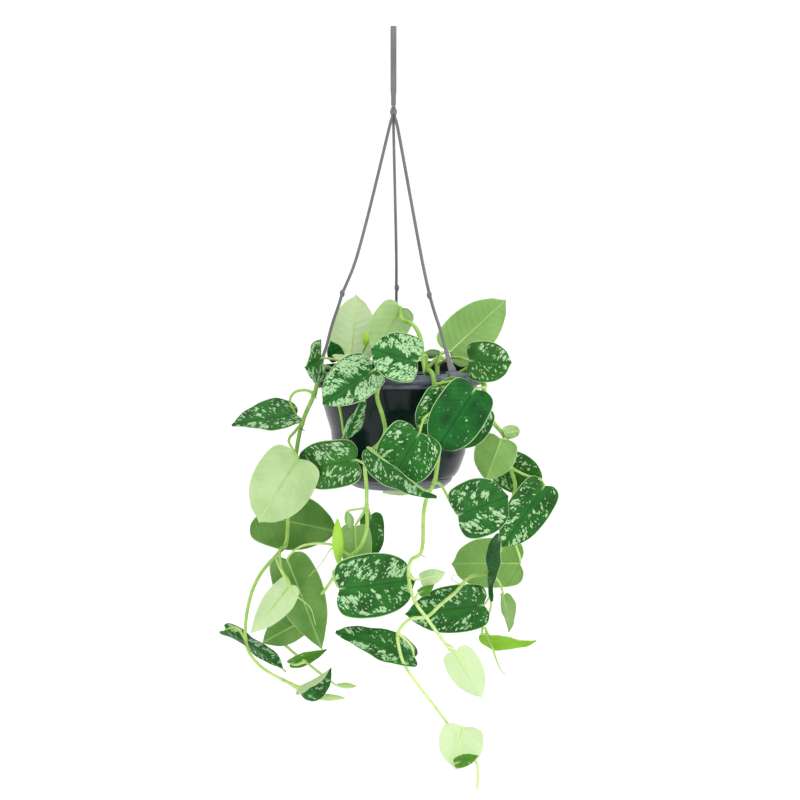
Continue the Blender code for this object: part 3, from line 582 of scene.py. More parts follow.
class Wiring:
    """Adds nodes to a tree and joins them."""

    def __init__(self, tree: bpy.types.NodeTree) -> None:
        """Starts on a tree."""
        self.tree = tree

    def put(self, socket: Socket, value: object) -> None:
        """Links a socket to an output, or gives it a constant.

        Args:
            socket: the input.
            value: an output, or a number, a colour or a vector.
        """
        if isinstance(value, Socket):
            self.tree.links.new(value, socket)
        elif socket.type == "RGBA" and len(value) == 3:
            socket.default_value = (*value, 1.0)
        else:
            socket.default_value = value

    def add(self, kind: str, inputs: Given | None = None, **settings: object) -> bpy.types.Node:
        """Adds a node.

        Args:
            kind: the node's type.
            inputs: what its inputs get, by name or by number.
            settings: its other properties.

        Returns:
            The node.
        """
        node = self.tree.nodes.new(kind)
        for name, value in settings.items():
            setattr(node, name, value)
        self.fill(node, inputs or {})
        return node

    def fill(self, node: bpy.types.Node, inputs: Given) -> None:
        """Gives a node's inputs their values, by name or by number."""
        for name, value in inputs.items():
            self.put(node.inputs[name], value)

    def math(self, operation: str, *values: Value, clamp: bool = False) -> Socket:
        """A Math node's result."""
        node = self.add("ShaderNodeMath", dict(enumerate(values)), operation=operation, use_clamp=clamp)
        return node.outputs[0]

    def times(self, first: Value, second: Value) -> Socket:
        """One value times another."""
        return self.math("MULTIPLY", first, second)

    def line(self, value: Value, slope: Value, start: Value, clamp: bool = False) -> Socket:
        """The value times the slope, plus the start."""
        return self.math("MULTIPLY_ADD", value, slope, start, clamp=clamp)

    def less(self, first: Value, second: Value = 0.5) -> Socket:
        """One value less another, which is a noise's middle unless it is given."""
        return self.math("SUBTRACT", first, second)

    def size(self, value: Value) -> Socket:
        """A value without its sign."""
        return self.math("ABSOLUTE", value)

    def step(self, value: Value, low: Value, high: Value, start: float = 0.0, end: float = 1.0) -> Socket:
        """A smooth step from start to end as the value goes from low to high."""
        given = dict(enumerate((value, low, high, start, end)))
        return self.add("ShaderNodeMapRange", given, interpolation_type="SMOOTHSTEP").outputs[0]

    def mix(self, factor: Value, first: object, second: object) -> Socket:
        """Two colours mixed by a factor."""
        return self.add("ShaderNodeMix", {0: factor, 6: first, 7: second}, data_type="RGBA").outputs[2]

    def vector(self, x: Value, y: Value, z: Value) -> Socket:
        """A vector from three values."""
        return self.add("ShaderNodeCombineXYZ", {0: x, 1: y, 2: z}).outputs[0]

    def split(self, vector: Socket) -> tuple[Socket, ...]:
        """A vector's three values."""
        return tuple(self.add("ShaderNodeSeparateXYZ", {0: vector}).outputs)

    def noise(
        self, vector: Socket, scale: Value, detail: float = 2.0, rough: float = 0.5, distorted: float = 0.0
    ) -> Socket:
        """Adds a Noise Texture.

        Args:
            vector: where it is read.
            scale: its scale.
            detail: its octaves.
            rough: how strong the finer octaves are.
            distorted: how far it is distorted.

        Returns:
            Its value, from 0 to 1.
        """
        inputs = {"Vector": vector, "Scale": scale, "Detail": detail, "Roughness": rough,
                  "Distortion": distorted}
        return self.add("ShaderNodeTexNoise", inputs).outputs["Fac"]

    def group(self, tree: bpy.types.NodeTree, **values: Value) -> Sockets:
        """The outputs of a shader group with these inputs."""
        return self.add("ShaderNodeGroup", values, node_tree=tree).outputs


Group = tuple[Wiring, Sockets, bpy.types.Node]


def new_group(name: str, kind: str, inputs: dict[str, str], outputs: str) -> Group:
    """A node group with named sockets.

    Args:
        name: the group's name.
        kind: the tree's type.
        inputs: the names of the inputs of each socket kind.
        outputs: the names of the outputs: values of a shader group, or the geometry.

    Returns:
        Its wiring, its input sockets and its output node.
    """
    tree = bpy.data.node_groups.new(name, kind)
    for socket_kind, labels in inputs.items():
        for label in labels.split():
            tree.interface.new_socket(label, in_out="INPUT", socket_type="NodeSocket" + socket_kind)
    result_kind = "NodeSocketFloat" if kind == SHADER_TREE else "NodeSocketGeometry"
    for label in outputs.split():
        tree.interface.new_socket(label, in_out="OUTPUT", socket_type=result_kind)
    w = Wiring(tree)
    return w, w.add("NodeGroupInput").outputs, w.add("NodeGroupOutput")


def leaf_veins() -> bpy.types.NodeTree:
    """Builds the shader group that finds a leaf's veins from its flat map, in millimetres.

    Returns:
        The group's tree.
    """
    w, given, result = new_group("Leaf veins", SHADER_TREE, {"Float": "Along Across Seed Spacing"},
                                 "Flow Vein Swell Midrib")
    along, across, seed, spacing = given[:4]
    side = w.size(across)
    flow = w.less(along, w.times(side, w.line(side, VEIN_CURVE, VEIN_LEAN)))
    wobble = w.noise(w.vector(along, across, seed), 0.16, 1.0)
    turn = w.math("FRACT", w.math("DIVIDE", w.line(wobble, 3.0, flow), spacing))
    near = w.size(w.less(turn))
    beside = w.step(side, 0.4, 2.5)
    w.fill(result, {
        "Flow": flow,
        "Vein": w.times(w.step(near, 0.40, 0.5), beside),
        "Swell": w.times(w.step(near, 0.0, 0.5), beside),
        "Midrib": w.step(side, 0.45, 1.3, 1.0, 0.0),
    })
    return w.tree


@dataclass(frozen=True)
class Islands:
    """Ragged islands on a leaf: how many there are to a millimetre, and how much they cover."""

    scale: float
    cover: float
    lack: float
    shore: float = 0.07
    ragged: float = 0.46
    evenness: tuple[float, float] = (0.95, 0.25)

    def mask(self, w: Wiring, place: Socket, amount: Value, roughened: Socket) -> Socket:
        """Adds a mask of the islands, none at an amount of 0 and nearly everything at 1.

        Args:
            w: the wiring of the tree that gets the nodes.
            place: where on the leaf, in millimetres.
            amount: how much silver there is.
            roughened: a fine noise that roughens the shores.

        Returns:
            The mask's value.
        """
        cells = w.add("ShaderNodeTexVoronoi", {"Vector": place, "Scale": self.scale}).outputs
        chance = w.add("ShaderNodeSeparateColor", {0: cells["Color"]}).outputs[0]
        radius = w.times(w.line(amount, self.cover, self.lack), w.line(chance, *self.evenness))
        edge = w.line(w.less(roughened), self.ragged, cells["Distance"])
        return w.step(w.less(radius, edge), 0.0, self.shore)


@dataclass(frozen=True)
class SilverSplash:
    """The silver splashes, which lie between a leaf's star-shaped middle and its margin.

    Each pair is how a limit grows with the leaf's share of silver, and where it starts.
    """

    squeeze: float = 0.66
    patches: float = 0.085
    drift: float = 7.0
    star: float = 22.0
    middle: tuple[tuple[float, float], ...] = ((2.6, 0.8), (4.0, 2.6))
    margin: tuple[tuple[float, float], ...] = ((0.10, 0.80), (0.06, 0.93))
    holes: tuple[float, float] = (0.09, 0.315)
    large: Islands = Islands(0.23, 1.10, -0.13)
    small: Islands = Islands(0.50, 0.92, -0.06)

    def build(self) -> bpy.types.NodeTree:
        """Builds the shader group.

        Returns:
            The group's tree.
        """
        w, given, result = new_group("Silver splash", SHADER_TREE, {"Float": "Flow Across Rim Silver Seed"},
                                     "Mask")
        flow, across, rim, silver, seed = given[:5]
        depth = w.times(seed, 61.0)
        squeezed = w.times(across, self.squeeze)
        flat = w.vector(flow, squeezed, depth)
        roughened = w.noise(flat, 0.75, 2.0, 0.6, 0.3)
        place = w.vector(w.line(w.noise(flat, 0.22, 2.0, 0.6), self.drift, flow), squeezed, depth)
        torn = w.noise(w.vector(flow, w.times(across, 0.30), depth), 0.24, 2.0, 0.6)
        star = w.line(w.less(torn), self.star, w.size(across))
        middle = w.step(star, *(w.line(silver, *limit) for limit in self.middle))
        margin = w.step(rim, *(w.line(silver, *limit) for limit in self.margin), 1.0, 0.0)
        lush = w.times(silver, w.step(w.noise(flat, self.patches, 1.0), 0.30, 0.66, 0.60, 1.30))
        amount = w.times(lush, w.times(middle, margin))
        spread = [islands.mask(w, place, amount, roughened) for islands in (self.large, self.small)]
        open_at = w.line(silver, *self.holes)
        holes = w.step(w.noise(flat, 0.80, 1.0, 0.5, 0.5), open_at, w.math("ADD", open_at, 0.03))
        w.fill(result, {"Mask": w.times(w.math("MAXIMUM", *spread), holes)})
        return w.tree


def mottle() -> bpy.types.NodeTree:
    """Builds the shader group of uneven tone: a wide and a fine noise, about 0.5 on average.

    Returns:
        The group's tree.
    """
    w, given, result = new_group("Mottle", SHADER_TREE, {"Vector": "Vector", "Float": "Scale Fine"},
                                 "Tone Height")
    vector, scale, fine = given[:3]
    wide = w.noise(vector, scale, 2.0)
    grain = w.noise(vector, w.times(scale, 9.0), 3.0, 0.6)
    mixed = w.math("ADD", w.times(wide, w.less(1.0, fine)), w.times(grain, fine))
    w.fill(result, {"Tone": w.step(mixed, 0.25, 0.75), "Height": grain})
    return w.tree


def moulded_wear() -> bpy.types.NodeTree:
    """Builds the shader group of moulded plastic: grain, rub marks, and dust where it faces up.

    Returns:
        The group's tree.
    """
    w, given, result = new_group("Moulded wear", SHADER_TREE, {"Vector": "Vector Normal", "Float": "Grain"},
                                 "Rub Dust Height")
    vector, normal, grain = given[:3]
    x, y, z = w.split(vector)
    faces_up = w.step(w.split(normal)[2], 0.3, 0.95)
    w.fill(result, {
        "Rub": w.step(w.noise(w.vector(x, y, w.times(z, 0.12)), 160.0, 4.0, 0.65), 0.50, 0.72),
        "Dust": w.times(faces_up, w.step(w.noise(vector, 240.0, 4.0, 0.7), 0.35, 0.75)),
        "Height": w.noise(vector, grain, 2.0, 0.6),
    })
    return w.tree


class Effects:
    """The shader groups that several finishes share, each built once."""

    def __init__(self) -> None:
        """Builds the groups."""
        self.veins = leaf_veins()
        self.splash = SilverSplash().build()
        self.mottle = mottle()
        self.wear = moulded_wear()


def blank_material(name: str) -> tuple[bpy.types.Material, Wiring, bpy.types.Node]:
    """Makes a plain material.

    Args:
        name: the material's name.

    Returns:
        The material, its wiring and its Principled shader.
    """
    made = bpy.data.materials.new(name)
    made.use_nodes = True
    return made, Wiring(made.node_tree), made.node_tree.nodes["Principled BSDF"]


@dataclass(frozen=True)
class Sheen:
    """How a surface shines: its specular level, and its bump's distance in metres and strength."""

    specular: float = 0.5
    bump: float = 0.0006
    strength: float = 1.0

    def dress(
        self, w: Wiring, shader: bpy.types.Node, colour: Socket, roughness: Value, height: Socket
    ) -> None:
        """Finishes a shader.

        Args:
            w: the material's wiring.
            shader: its Principled shader.
            colour: its base colour.
            roughness: its roughness.
            height: the height of its bumps.
        """
        bump = w.add("ShaderNodeBump", {"Height": height, "Distance": self.bump, "Strength": self.strength})
        w.fill(shader, {"Base Color": colour, "Roughness": roughness, "Specular IOR Level": self.specular,
                        "Normal": bump.outputs[0]})


def attribute(w: Wiring, name: str) -> Socket:
    """A named value of the mesh."""
    return w.add("ShaderNodeAttribute", attribute_name=name).outputs["Fac"]


def object_place(w: Wiring) -> Socket:
    """The place on the piece, in metres."""
    return w.add("ShaderNodeTexCoord").outputs["Object"]


@dataclass(frozen=True)
class LeafMap:
    """Where a leaf's markings are read: its flat map in millimetres, its seed and its rim."""

    along: Socket
    across: Socket
    seed: Socket
    rim: Socket

    @classmethod
    def read(cls, w: Wiring) -> "LeafMap":
        """Adds the nodes that read a blade's flat map.

        Args:
            w: the wiring of the tree that gets the nodes.

        Returns:
            The map.
        """
        along, across, _ = w.split(w.add("ShaderNodeUVMap", uv_map=FLAT_MAP).outputs[0])
        return cls(w.times(along, FLAT_SCALE), w.times(across, FLAT_SCALE), attribute(w, "seed"),
                   attribute(w, "rim"))

    def veins(self, w: Wiring, effects: Effects, spacing: float) -> Sockets:
        """The outputs of the veins' group, with side veins this far apart."""
        return w.group(effects.veins, Along=self.along, Across=self.across, Seed=self.seed, Spacing=spacing)


@dataclass(frozen=True)
class UpperFace:
    """The satin green upper face of a blade, with silver splashes and a thin pale margin."""

    deep: Colour = (0.003, 0.060, 0.008)
    green: Colour = (0.012, 0.180, 0.022)
    lime: Colour = (0.260, 0.560, 0.014)
    silver: Colour = (0.480, 0.760, 0.410)
    pale: Colour = (0.560, 0.800, 0.400)
    silvering: float = 0.93
    margin: float = 0.88
    midrib: float = 0.60
    swell: float = 0.22
    roughness: float = 0.42
    sheen: Sheen = Sheen(0.24, 0.00016, 0.8)

    def build(self, effects: Effects) -> bpy.types.Material:
        """Builds the material.

        Args:
            effects: the shared shader groups.

        Returns:
            The material.
        """
        made, w, shader = blank_material("leaf_upper")
        flat = LeafMap.read(w)
        veins = flat.veins(w, effects, VEIN_SPACING)
        mask = w.group(effects.splash, Flow=veins["Flow"], Across=flat.across, Rim=flat.rim,
                       Silver=attribute(w, "silver"), Seed=flat.seed)["Mask"]
        tone = w.group(effects.mottle, Vector=object_place(w), Scale=70.0, Fine=0.22)
        body = w.mix(tone["Tone"], self.deep, self.green)
        body = w.mix(w.times(veins["Swell"], self.swell), body, self.deep)
        body = w.mix(w.step(w.size(flat.across), 1.5, 7.0, 0.45, 0.0), body, self.green)
        body = w.mix(w.times(veins["Midrib"], self.midrib), body, self.deep)
        young = w.times(attribute(w, "young"), w.step(tone["Tone"], -0.3, 0.9, 0.65, 1.0))
        body = w.mix(young, body, self.lime)
        body = w.mix(w.times(mask, self.silvering), body, self.silver)
        pale_foot = w.step(flat.along, 0.0, 7.0, self.midrib, 0.0)
        body = w.mix(w.times(veins["Midrib"], pale_foot), body, self.pale)
        body = w.mix(w.times(w.step(flat.rim, 0.962, 0.986), self.margin), body, self.pale)
        relief = w.line(mask, 0.35, w.line(veins["Swell"], -0.9, tone["Height"]))
        self.sheen.dress(w, shader, body, w.line(mask, 0.10, self.roughness), relief)
        return made


@dataclass(frozen=True)
class Underside:
    """The pale matt underside of a blade, with its raised veins."""

    deep: Colour = (0.055, 0.190, 0.025)
    mid: Colour = (0.270, 0.490, 0.140)
    light: Colour = (0.660, 0.830, 0.480)
    lime: Colour = (0.400, 0.740, 0.030)
    vein_spacing: float = 6.5
    uneven: float = 0.15
    midrib: float = 0.20
    youth: float = 0.85
    margin: float = 0.6
    roughness: float = 0.55
    sheen: Sheen = Sheen(0.22, 0.00022, 0.8)

    def build(self, effects: Effects) -> bpy.types.Material:
        """Builds the material.

        Args:
            effects: the shared shader groups.

        Returns:
            The material.
        """
        made, w, shader = blank_material("leaf_underside")
        flat = LeafMap.read(w)
        veins = flat.veins(w, effects, self.vein_spacing)
        tone = w.group(effects.mottle, Vector=object_place(w), Scale=45.0, Fine=0.12)
        pale = attribute(w, "pale")
        mottled = w.line(w.less(tone["Tone"]), self.uneven, pale, clamp=True)
        body = w.mix(w.step(mottled, 0.0, 0.5), self.deep, self.mid)
        body = w.mix(w.step(mottled, 0.45, 1.0), body, self.light)
        body = w.mix(w.times(veins["Vein"], w.step(pale, 0.35, 0.8, 0.16, 0.02)), body, self.deep)
        body = w.mix(w.times(veins["Midrib"], self.midrib), body, self.light)
        body = w.mix(w.times(attribute(w, "young"), self.youth), body, self.lime)
        body = w.mix(w.times(w.step(flat.rim, 0.95, 0.985), self.margin), body, self.light)
        relief = w.math("ADD", veins["Swell"], w.times(tone["Height"], 0.5))
        self.sheen.dress(w, shader, body, self.roughness, relief)
        return made


@dataclass(frozen=True)
class StemSkin:
    """The smooth skin of stems, stalks and aerial roots, from leaf green to pale lime."""

    green: Colour = (0.085, 0.290, 0.030)
    lime: Colour = (0.400, 0.660, 0.130)
    cream: Colour = (0.740, 0.910, 0.400)
    scar: Colour = (0.170, 0.110, 0.045)
    uneven: float = 0.35
    roughness: float = 0.38
    sheen: Sheen = Sheen(0.4, 0.0001, 0.7)

    def build(self, effects: Effects) -> bpy.types.Material:
        """Builds the material.

        Args:
            effects: the shared shader groups.

        Returns:
            The material.
        """
        made, w, shader = blank_material("stem_skin")
        tone = w.group(effects.mottle, Vector=object_place(w), Scale=110.0, Fine=0.3)
        age = w.line(w.less(tone["Tone"]), self.uneven, attribute(w, "tone"), clamp=True)
        body = w.mix(w.step(age, 0.0, 0.55), self.green, self.lime)
        body = w.mix(w.step(age, 0.5, 1.0), body, self.cream)
        body = w.mix(attribute(w, "scar"), body, self.scar)
        self.sheen.dress(w, shader, body, self.roughness, tone["Height"])
        return made


@dataclass(frozen=True)
class PaintedRimHighlight:
    """A painted highlight: where a turned piece would catch the light, in metres, and the colour painted
    there.
    """

    axis: tuple[float, float] = (0.005, 0.0)
    radius: float = 0.0744
    height: float = -0.3040
    # The painted highlight's colour.
    colour: Colour = (0.20, 0.23, 0.29)

    def mask(self, w: Wiring, place: Socket) -> Socket:
        """Adds a streaky mask of the painted highlight on the outside of the rim's band, brighter towards its
        top.

        Args:
            w: the wiring of the tree that gets the nodes.
            place: the place on the piece, in metres.

        Returns:
            The mask's value.
        """
        x, y, z = w.split(place)
        squares = (w.math("POWER", w.less(value, middle), 2.0) for value, middle in zip((x, y), self.axis))
        reach = w.math("SQRT", w.math("ADD", *squares))
        outside = w.step(reach, self.radius - 0.0006, self.radius)
        above = w.step(z, self.height, self.height + 0.0008)
        highlight_streaks = w.noise(w.vector(x, y, w.times(z, 7.0)), 34.0, 2.0, 0.55)
        lit = w.times(w.step(highlight_streaks, 0.36, 0.66, 0.18, 1.0), w.times(outside, above))
        return w.times(lit, w.step(z, self.height, self.height + 0.012, 0.55, 1.0))


@dataclass(frozen=True)
class Plastic:
    """Moulded plastic with fine grain, rub marks, a little dust and, if a band is given, a painted highlight
    on the rim's band.
    """

    name: str
    colour: Colour
    rubbed: Colour
    dust: Colour = (0.30, 0.29, 0.26)
    roughness: float = 0.34
    grain: float = 900.0
    dusty: float = 0.35
    specular: float = 0.35
    # The painted highlight on the rim's band, if the piece has one.
    band: PaintedRimHighlight | None = None

    def build(self, effects: Effects) -> bpy.types.Material:
        """Builds the material.

        Args:
            effects: the shared shader groups.

        Returns:
            The material.
        """
        made, w, shader = blank_material(self.name)
        place = object_place(w)
        normal = w.add("ShaderNodeNewGeometry").outputs["Normal"]
        wear = w.group(effects.wear, Vector=place, Normal=normal, Grain=self.grain)
        tone = w.group(effects.mottle, Vector=place, Scale=30.0, Fine=0.15)
        body = w.mix(w.times(tone["Tone"], 0.35), self.colour, self.rubbed)
        body = w.mix(w.times(wear["Rub"], 0.30), body, self.rubbed)
        if self.band:
            # Painted highlight: the rim's band is lightened in streaks where light would catch it.
            body = w.mix(self.band.mask(w, place), body, self.band.colour)
        body = w.mix(w.times(wear["Dust"], self.dusty), body, self.dust)
        roughness = w.line(wear["Dust"], 0.25, w.line(wear["Rub"], 0.14, self.roughness))
        Sheen(self.specular, 0.00006, 0.6).dress(w, shader, body, roughness, wear["Height"])
        return made


@dataclass(frozen=True)
class Earth:
    """Damp potting mix or bark, dark with lighter fibres."""

    name: str
    dark: Colour
    light: Colour
    roughness: float = 0.9
    scale: float = 260.0

    def build(self, effects: Effects) -> bpy.types.Material:
        """Builds the material.

        Args:
            effects: the shared shader groups.

        Returns:
            The material.
        """
        made, w, shader = blank_material(self.name)
        tone = w.group(effects.mottle, Vector=object_place(w), Scale=self.scale, Fine=0.45)
        Sheen().dress(w, shader, w.mix(tone["Tone"], self.dark, self.light), self.roughness, tone["Height"])
        return made


class Finishes:
    """Every material of the object."""

    def __init__(self) -> None:
        """Builds the shared effects and the materials."""
        effects = Effects()
        self.upper = UpperFace().build(effects)
        self.under = Underside().build(effects)
        self.stem = StemSkin().build(effects)
        # The pot's rim band gets a painted highlight.
        self.pot = Plastic("pot_plastic", (0.0010, 0.012, 0.011), (0.008, 0.022, 0.024), (0.46, 0.47, 0.50),
                           roughness=0.26, dusty=0.55, specular=0.26, band=PaintedRimHighlight()).build(effects)
        self.saucer = Plastic("saucer_plastic", (0.100, 0.105, 0.130), (0.24, 0.24, 0.28)).build(effects)
        self.hanger = Plastic("hanger_plastic", (0.150, 0.155, 0.160), (0.30, 0.30, 0.31), roughness=0.42,
                              dusty=0.15).build(effects)
        self.soil = Earth("potting_mix", (0.007, 0.005, 0.0035), (0.036, 0.025, 0.016)).build(effects)
        bark = Earth("bark_chip", (0.034, 0.017, 0.008), (0.190, 0.094, 0.036), 0.8, 320.0)
        self.bark = bark.build(effects)
        self.grit = Earth("pale_grit", (0.30, 0.28, 0.24), (0.62, 0.60, 0.54), 0.85, 500.0).build(effects)


# ---- Geometry nodes ----


def set_input(modifier: bpy.types.Modifier, name: str, value: object) -> None:
    """Sets a named input of a Geometry Nodes modifier by its socket's identifier.

    Args:
        modifier: the modifier.
        name: the input's name.
        value: its value.
    """
    for item in modifier.node_group.interface.items_tree:
        if item.name == name and item.in_out == "INPUT":
            modifier[item.identifier] = value
            return
    raise KeyError(name)


def grown(
    name: str, seed_mesh: bpy.types.Mesh, tree: bpy.types.NodeTree, inputs: dict[str, object]
) -> bpy.types.Mesh:
    """Makes a plain mesh from a mesh with a Geometry Nodes tree.

    Args:
        name: the result's name.
        seed_mesh: the mesh that the tree starts from.
        tree: the tree.
        inputs: its named inputs.

    Returns:
        The mesh, with its instances made real.
    """
    holder = placed(name + "_seed", seed_mesh)
    modifier = holder.modifiers.new("Grow", "NODES")
    modifier.node_group = tree
    for label, value in inputs.items():
        set_input(modifier, label, value)
    graph = bpy.context.evaluated_depsgraph_get()
    made = bpy.data.meshes.new_from_object(holder.evaluated_get(graph))
    made.name = name
    bpy.data.objects.remove(holder, do_unlink=True)
    return made


def shifted(w: Wiring, geometry: Socket, direction: Socket, distance: Socket) -> Socket:
    """A geometry whose points are moved along a direction by a distance."""
    shift = w.add("ShaderNodeVectorMath", {0: direction, "Scale": distance}, operation="SCALE")
    return w.add("GeometryNodeSetPosition", {"Geometry": geometry, "Offset": shift.outputs[0]}).outputs[0]


def finish_tree(w: Wiring, geometry: Socket, material: Socket, result: bpy.types.Node) -> None:
    """Ends a Geometry Nodes tree in smooth shading, Realize Instances and Set Material.

    Args:
        w: the tree's wiring.
        geometry: what the tree has made.
        material: the material that it gets.
        result: the tree's output node.
    """
    smooth = w.add("GeometryNodeSetShadeSmooth", {"Geometry": geometry})
    real = w.add("GeometryNodeRealizeInstances", {"Geometry": smooth.outputs[0]})
    dressed = w.add("GeometryNodeSetMaterial", {"Geometry": real.outputs[0], "Material": material})
    w.fill(result, {0: dressed.outputs[0]})


def named_value(w: Wiring, name: str) -> Socket:
    """A named value inside a Geometry Nodes tree."""
    return w.add("GeometryNodeInputNamedAttribute", {"Name": name}, data_type="FLOAT").outputs["Attribute"]


def living_tube() -> bpy.types.NodeTree:
    """Builds the tree that grows a tube along each edge path, as thick as its points say.

    Returns:
        The tree.
    """
    w, given, result = new_group(
        "Living tube", GEOMETRY_TREE,
        {"Geometry": "Paths", "Int": "Sides", "Float": "Unevenness", "Material": "Material"}, "Geometry",
    )
    paths, sides, unevenness, material = given[:4]
    curve = w.add("GeometryNodeMeshToCurve", {"Mesh": paths})
    circle = w.add("GeometryNodeCurvePrimitiveCircle", {"Resolution": sides, "Radius": 1.0})
    tube = w.add("GeometryNodeCurveToMesh", {
        "Curve": curve.outputs[0], "Profile Curve": circle.outputs[0], "Scale": named_value(w, "thickness"),
        "Fill Caps": True,
    })
    bumps = w.noise(w.add("GeometryNodeInputPosition").outputs[0], 420.0, 2.0)
    normal = w.add("GeometryNodeInputNormal").outputs[0]
    uneven = shifted(w, tube.outputs[0], normal, w.times(w.less(bumps), unevenness))
    finish_tree(w, uneven, material, result)
    return w.tree


def scattered_chips() -> bpy.types.NodeTree:
    """Builds the tree that strews uneven chips over a surface where its value open is 1.

    Returns:
        The tree.
    """
    w, given, result = new_group(
        "Scattered chips", GEOMETRY_TREE,
        {"Geometry": "Surface", "Float": "Density Smallest Largest Flatness", "Int": "Seed",
         "Material": "Material"},
        "Geometry",
    )
    surface, density, smallest, largest, flatness, seed, material = given[:7]
    points = w.add("GeometryNodeDistributePointsOnFaces", {
        "Mesh": surface, "Density": w.times(density, named_value(w, "open")), "Seed": seed,
    })
    chip = w.add("GeometryNodeMeshIcoSphere", {"Radius": 0.5, "Subdivisions": 2})
    limits = {2: smallest, 3: largest, "Seed": seed}
    size = w.add("FunctionNodeRandomValue", limits, data_type="FLOAT").outputs[1]
    turn = w.add("FunctionNodeRandomValue", {0: (-0.5, -0.5, 0.0), 1: (0.5, 0.5, math.tau), "Seed": seed},
                 data_type="FLOAT_VECTOR")
    strewn = w.add("GeometryNodeInstanceOnPoints", {
        "Points": points.outputs["Points"], "Instance": chip.outputs[0], "Rotation": turn.outputs[0],
        "Scale": w.vector(w.times(size, 1.5), size, w.times(size, flatness)),
    })
    real = w.add("GeometryNodeRealizeInstances", {"Geometry": strewn.outputs[0]})
    place = w.add("GeometryNodeInputPosition").outputs[0]
    ragged = w.add("ShaderNodeTexNoise", {"Scale": 600.0, "Vector": place})
    centred = w.add("ShaderNodeVectorMath", {0: ragged.outputs["Color"], 1: (0.5, 0.5, 0.5)},
                    operation="SUBTRACT")
    finish_tree(w, shifted(w, real.outputs[0], centred.outputs[0], smallest), material, result)
    return w.tree


# ---- The pot, its saucer and the soil ----


@dataclass
class Pot:
    """The turned cup, with a straight band at its rim and a ledge under it."""

    axis: tuple[float, float] = (5.0, 0.0)
    rim: float = -292.0
    radius: float = 75.0
    band: float = 12.0
    wall: float = 2.0
    side: tuple[tuple[float, float], ...] = (
        (68.0, 12.5), (66.3, 31.0), (59.4, 54.0), (57.2, 74.0), (53.3, 85.0), (51.3, 89.5),
    )
    floor: tuple[float, float] = (48.0, 94.0)
    rounding: float = 1.6
    sides: int = 160

    def inner_radius(self, down: float) -> float:
        """The inner radius at a depth under the rim."""
        radii, depths = zip(*self.side)
        return float(np.interp(down, depths, radii)) - self.wall

    def outline(self) -> np.ndarray:
        """Draws the cup, up the inside and down the outside.

        Returns:
            Radius and height of each point, the first and the last on the axis.
        """
        rim, wall, radius = self.rim, self.wall, self.radius
        floor_radius, low = self.floor[0], rim - self.floor[1]
        ledge = rim - self.band
        corners = [(0.0, low + wall), (floor_radius - wall, low + wall)]
        corners += [(side - wall, rim - down) for side, down in reversed(self.side[1:])]
        corners += [
            (self.side[0][0] - wall, ledge + wall), (radius - wall, ledge + wall), (radius - wall, rim),
            (radius, rim), (radius, ledge), (radius - 1.2, ledge - 0.5),
        ]
        corners += [(side, rim - down) for side, down in self.side]
        corners += [(floor_radius, low), (0.0, low)]
        return rounded(corners, self.rounding, 5)

    def build(self, finishes: Finishes) -> None:
        """Makes the cup.

        Args:
            finishes: every material of the object.
        """
        draft = Draft()
        draft.add_turned(self.outline(), self.axis, self.sides)
        stand("pot_shell", draft.mesh("pot_shell", [finishes.pot]), "pot")


@dataclass
class Saucer:
    """The dish under the pot, with the post that snaps through the pot's floor."""

    pot: Pot
    radius: float = 46.4
    foot: tuple[float, float] = (37.7, 103.4)
    post: float = 4.6
    head: float = 6.0
    rise: float = 3.2
    gap: float = 0.3
    rounding: float = 0.9

    def build(self, finishes: Finishes) -> None:
        """Makes the dish.

        Args:
            finishes: every material of the object.
        """
        wall, foot_radius = self.pot.wall, self.foot[0]
        foot, rim = self.pot.rim - self.foot[1], self.pot.rim - self.pot.floor[1] - self.gap
        inside = self.pot.rim - self.pot.floor[1] + wall
        corners = [
            (0.0, inside + self.rise), (self.post - 1, inside + self.rise),
            (self.head, inside + self.gap + 1), (self.head, inside + self.gap),
            (self.post, inside + self.gap), (self.post, foot + wall), (foot_radius - 1, foot + wall),
            (self.radius - 3.2, rim - 3.2), (self.radius - wall, rim),
            (self.radius, rim), (self.radius - 1, rim - 3.6), (foot_radius + 3, foot + 1.2),
            (foot_radius, foot), (0.0, foot),
        ]
        draft = Draft()
        draft.add_turned(rounded(corners, self.rounding, 4), self.pot.axis, self.pot.sides)
        stand("saucer_dish", draft.mesh("saucer_dish", [finishes.saucer]), "saucer")


